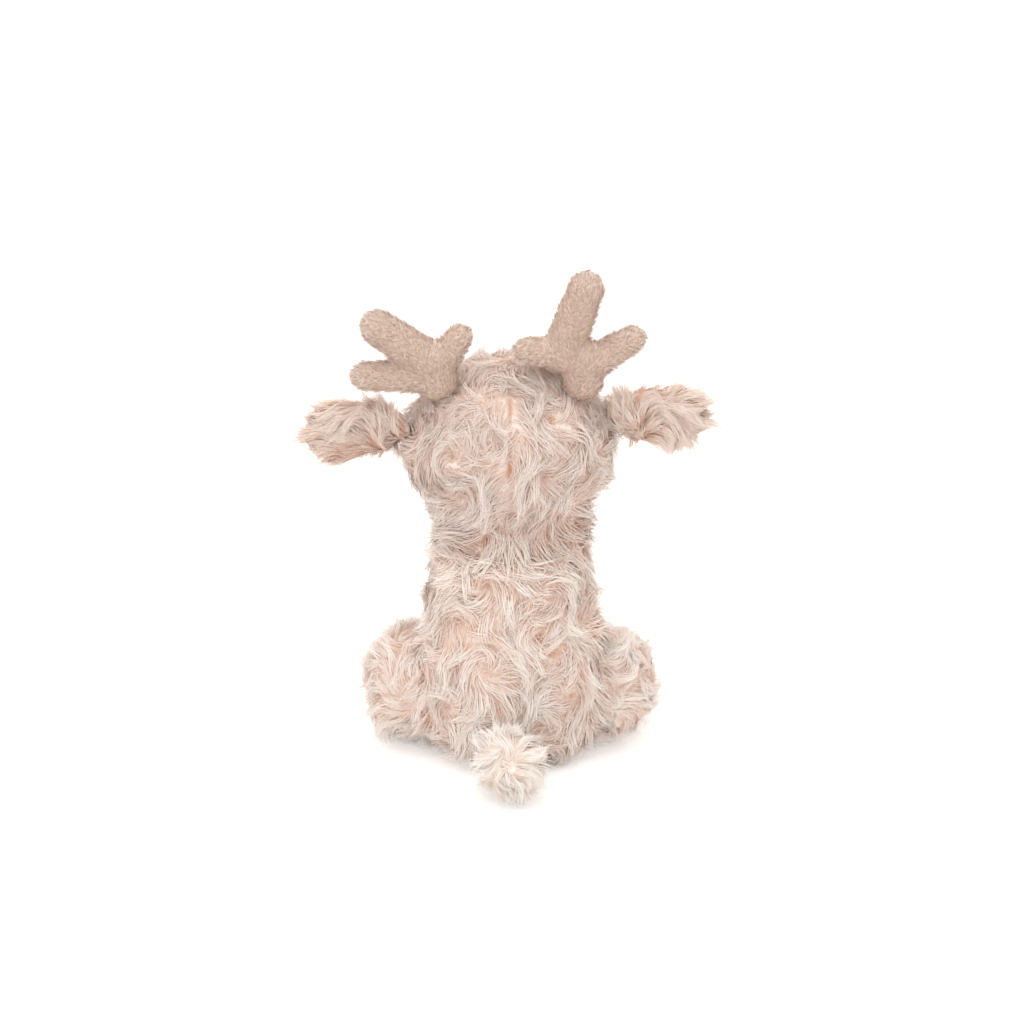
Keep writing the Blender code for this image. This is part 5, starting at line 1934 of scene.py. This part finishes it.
@dataclass
class Stage:
    """The floor, the soft studio light and the camera."""

    distance: float = 1.015
    elevation: float = 20.0
    azimuth: float = 180.0
    look_at: tuple[float, float, float] = (-0.0008, 0.0, 0.1077)
    lens: float = 85.0
    sensor: float = 36.0
    floor_size: float = 12.0
    floor_glow: float = 0.42
    world_strength: float = 0.82
    light_colour: tuple[float, float, float] = (1.0, 0.985, 0.97)
    lamp_size: float = 1.2
    lamps: tuple[tuple[str, tuple[float, float, float], float], ...] = (
        ("soft_box_top", (0.1, 0.35, 1.5), 7.5),
        ("soft_box_back", (0.25, 1.3, 0.6), 3.0),
        ("soft_box_front", (-0.3, -1.3, 0.7), 3.6),
    )

    def build(self) -> None:
        """Builds the stage."""
        self.build_floor()
        self.build_world()
        self.build_lamps()
        self.build_camera()

    def seen(self, tree: bpy.types.NodeTree) -> Socket:
        """Whether a ray is one that is seen: from the camera, or by gloss or through glass.

        Args:
            tree: The material's or the world's tree.

        Returns:
            One where it is seen, and else zero.
        """
        rays = add_node(tree, "ShaderNodeLightPath")
        shown = rays.outputs["Is Camera Ray"]
        for name in ("Is Glossy Ray", "Is Transmission Ray"):
            inputs = {0: shown, 1: rays.outputs[name]}
            shown = add_node(tree, "ShaderNodeMath", {"operation": "MAXIMUM"}, inputs).outputs[0]
        return shown

    def build_floor(self) -> None:
        """Builds the white table that keeps the toy's shadow."""
        half = self.floor_size / 2
        mesh = bpy.data.meshes.new("floor")
        corners = [(x * half, y * half, -0.0002) for x, y in ((-1, -1), (1, -1), (1, 1), (-1, 1))]
        mesh.from_pydata(corners, [], [(0, 1, 2, 3)])
        shader = Shader("matt_white_board")
        inputs = {0: self.seen(shader.tree), 1: self.floor_glow}
        glow = add_node(shader.tree, "ShaderNodeMath", {"operation": "MULTIPLY"}, inputs).outputs[0]
        board = shader.set(Base_Color="F6F2F0", Roughness=0.95, Specular_IOR_Level=0.0, Emission_Strength=glow)
        shader.set(Emission_Color="FFFFFF")
        mesh.materials.append(board)
        add_object("floor", mesh)

    def build_world(self) -> None:
        """Builds the even light all round, white where it is seen."""
        world = bpy.data.worlds.new("studio")
        bpy.context.scene.world = world
        world.use_nodes = True
        tree = world.node_tree
        tree.nodes.clear()
        inputs = {"Color": (*self.light_colour, 1.0), "Strength": self.world_strength}
        light = add_node(tree, "ShaderNodeBackground", None, inputs)
        white = add_node(tree, "ShaderNodeBackground", None, {"Color": (1.0, 1.0, 1.0, 1.0), "Strength": 1.0})
        inputs = {0: self.seen(tree), 1: light.outputs[0], 2: white.outputs[0]}
        mixed = add_node(tree, "ShaderNodeMixShader", None, inputs)
        output = add_node(tree, "ShaderNodeOutputWorld")
        tree.links.new(mixed.outputs[0], output.inputs["Surface"])

    def build_lamps(self) -> None:
        """Builds the large soft boxes above the toy."""
        for name, place, watts in self.lamps:
            lamp = bpy.data.lights.new(name, "AREA")
            lamp.size = self.lamp_size
            lamp.energy = watts
            lamp.color = self.light_colour
            holder = add_object(name, lamp)
            holder.location = place
            way = Vector((0, 0, 0.1)) - Vector(place)
            holder.rotation_euler = way.to_track_quat("-Z", "Y").to_euler()

    def build_camera(self) -> None:
        """Builds the camera at the photograph's angle."""
        camera = bpy.data.cameras.new("camera")
        camera.lens = self.lens
        camera.sensor_width = self.sensor
        camera.clip_start = 0.01
        camera.clip_end = 50.0
        holder = add_object("camera", camera)
        turn = math.radians(self.azimuth)
        rise = math.radians(self.elevation)
        way = Vector((math.sin(turn) * math.cos(rise), -math.cos(turn) * math.cos(rise), math.sin(rise)))
        holder.location = Vector(self.look_at) + way * self.distance
        holder.rotation_euler = (-way).to_track_quat("-Z", "Y").to_euler()
        scene = bpy.context.scene
        scene.camera = holder
        scene.view_settings.view_transform = "Standard"


def build_neck(finishes: Materials, thread_tree: ThreadTree) -> None:
    """Builds the drawn thread that closes the neck.

    Args:
        finishes: The toy's materials.
        thread_tree: The geometry nodes of threads.
    """
    low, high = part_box("neck_stitching")
    middle = (Vector(low) + Vector(high)) / 2
    reach = (high[0] - low[0]) / 2 - 0.0008
    paths = []
    for start in range(0, 96, 4):
        turns = [2 * math.pi * (start + 3 * k / 4) / 96 for k in range(5)]
        lifts = [0.0006 * math.sin(math.pi * k / 4) for k in range(5)]
        path = [(math.cos(t) * reach, math.sin(t) * reach, h) for t, h in zip(turns, lifts)]
        paths.append(np.array(path) + np.array(middle))
    piece = thread_tree.lay(paths, 0.0005, finishes["sewing_thread"], "neck_stitches", "neck", "sewing_thread")
    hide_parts("neck_stitching")


def main() -> None:
    """Builds the whole scene in order."""
    logging.basicConfig(level=logging.INFO, format="%(name)s: %(message)s")
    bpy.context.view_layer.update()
    finishes = make_finishes()
    tree = PileTree(steps=4)
    limb_tree = PileTree(steps=3)
    short_tree = PileTree(steps=2)
    cap_tree = PileTree(steps=1)
    threads = ThreadTree()
    Torso().build(finishes, tree)
    head = Head()
    head.build(finishes, tree)
    for side in Side:
        sign = side.value
        hind_root = Vector((sign * 0.038, -0.0085, 0.0255))
        slope = math.asin((0.026 - 0.019) / 0.0335)
        splay = math.radians(14)
        level = Vector((sign * math.sin(splay), -math.cos(splay), 0))
        along = level * math.cos(slope) - Vector((0, 0, math.sin(slope)))
        leg = Leg("hind_leg", "hind_hoof", side, hind_root, along, 0.026, 0.019, 0.0335, 0.0026, 5400, 0.0122)
        leg.build(finishes, limb_tree, cap_tree)
        forward, inward = math.radians(27), math.radians(6)
        along = Vector((-sign * math.sin(inward), -math.sin(forward), -math.cos(forward))).normalized()
        shoulder = Vector((sign * 0.020, -0.03723, 0.066))
        leg = Leg("foreleg", "front_hoof", side, shoulder, along, 0.0098, 0.0095, 0.046, 0.0020, 1700, 0.0088)
        leg.build(finishes, limb_tree, cap_tree)
        ear_root = (0.045806, -0.003246, 0.144362) if side is Side.LEFT else (-0.043563, -0.003248, 0.150531)
        Ear(side, Vector(ear_root)).build(finishes, limb_tree, cap_tree)
        make_antler(side).build(finishes, short_tree)
    Tail(Vector((0.0, 0.052771, 0.0168))).build(finishes, limb_tree)
    Face(head).build(finishes, cap_tree, threads)
    build_neck(finishes, threads)
    Stage().build()


if __name__ == "__main__":
    main()
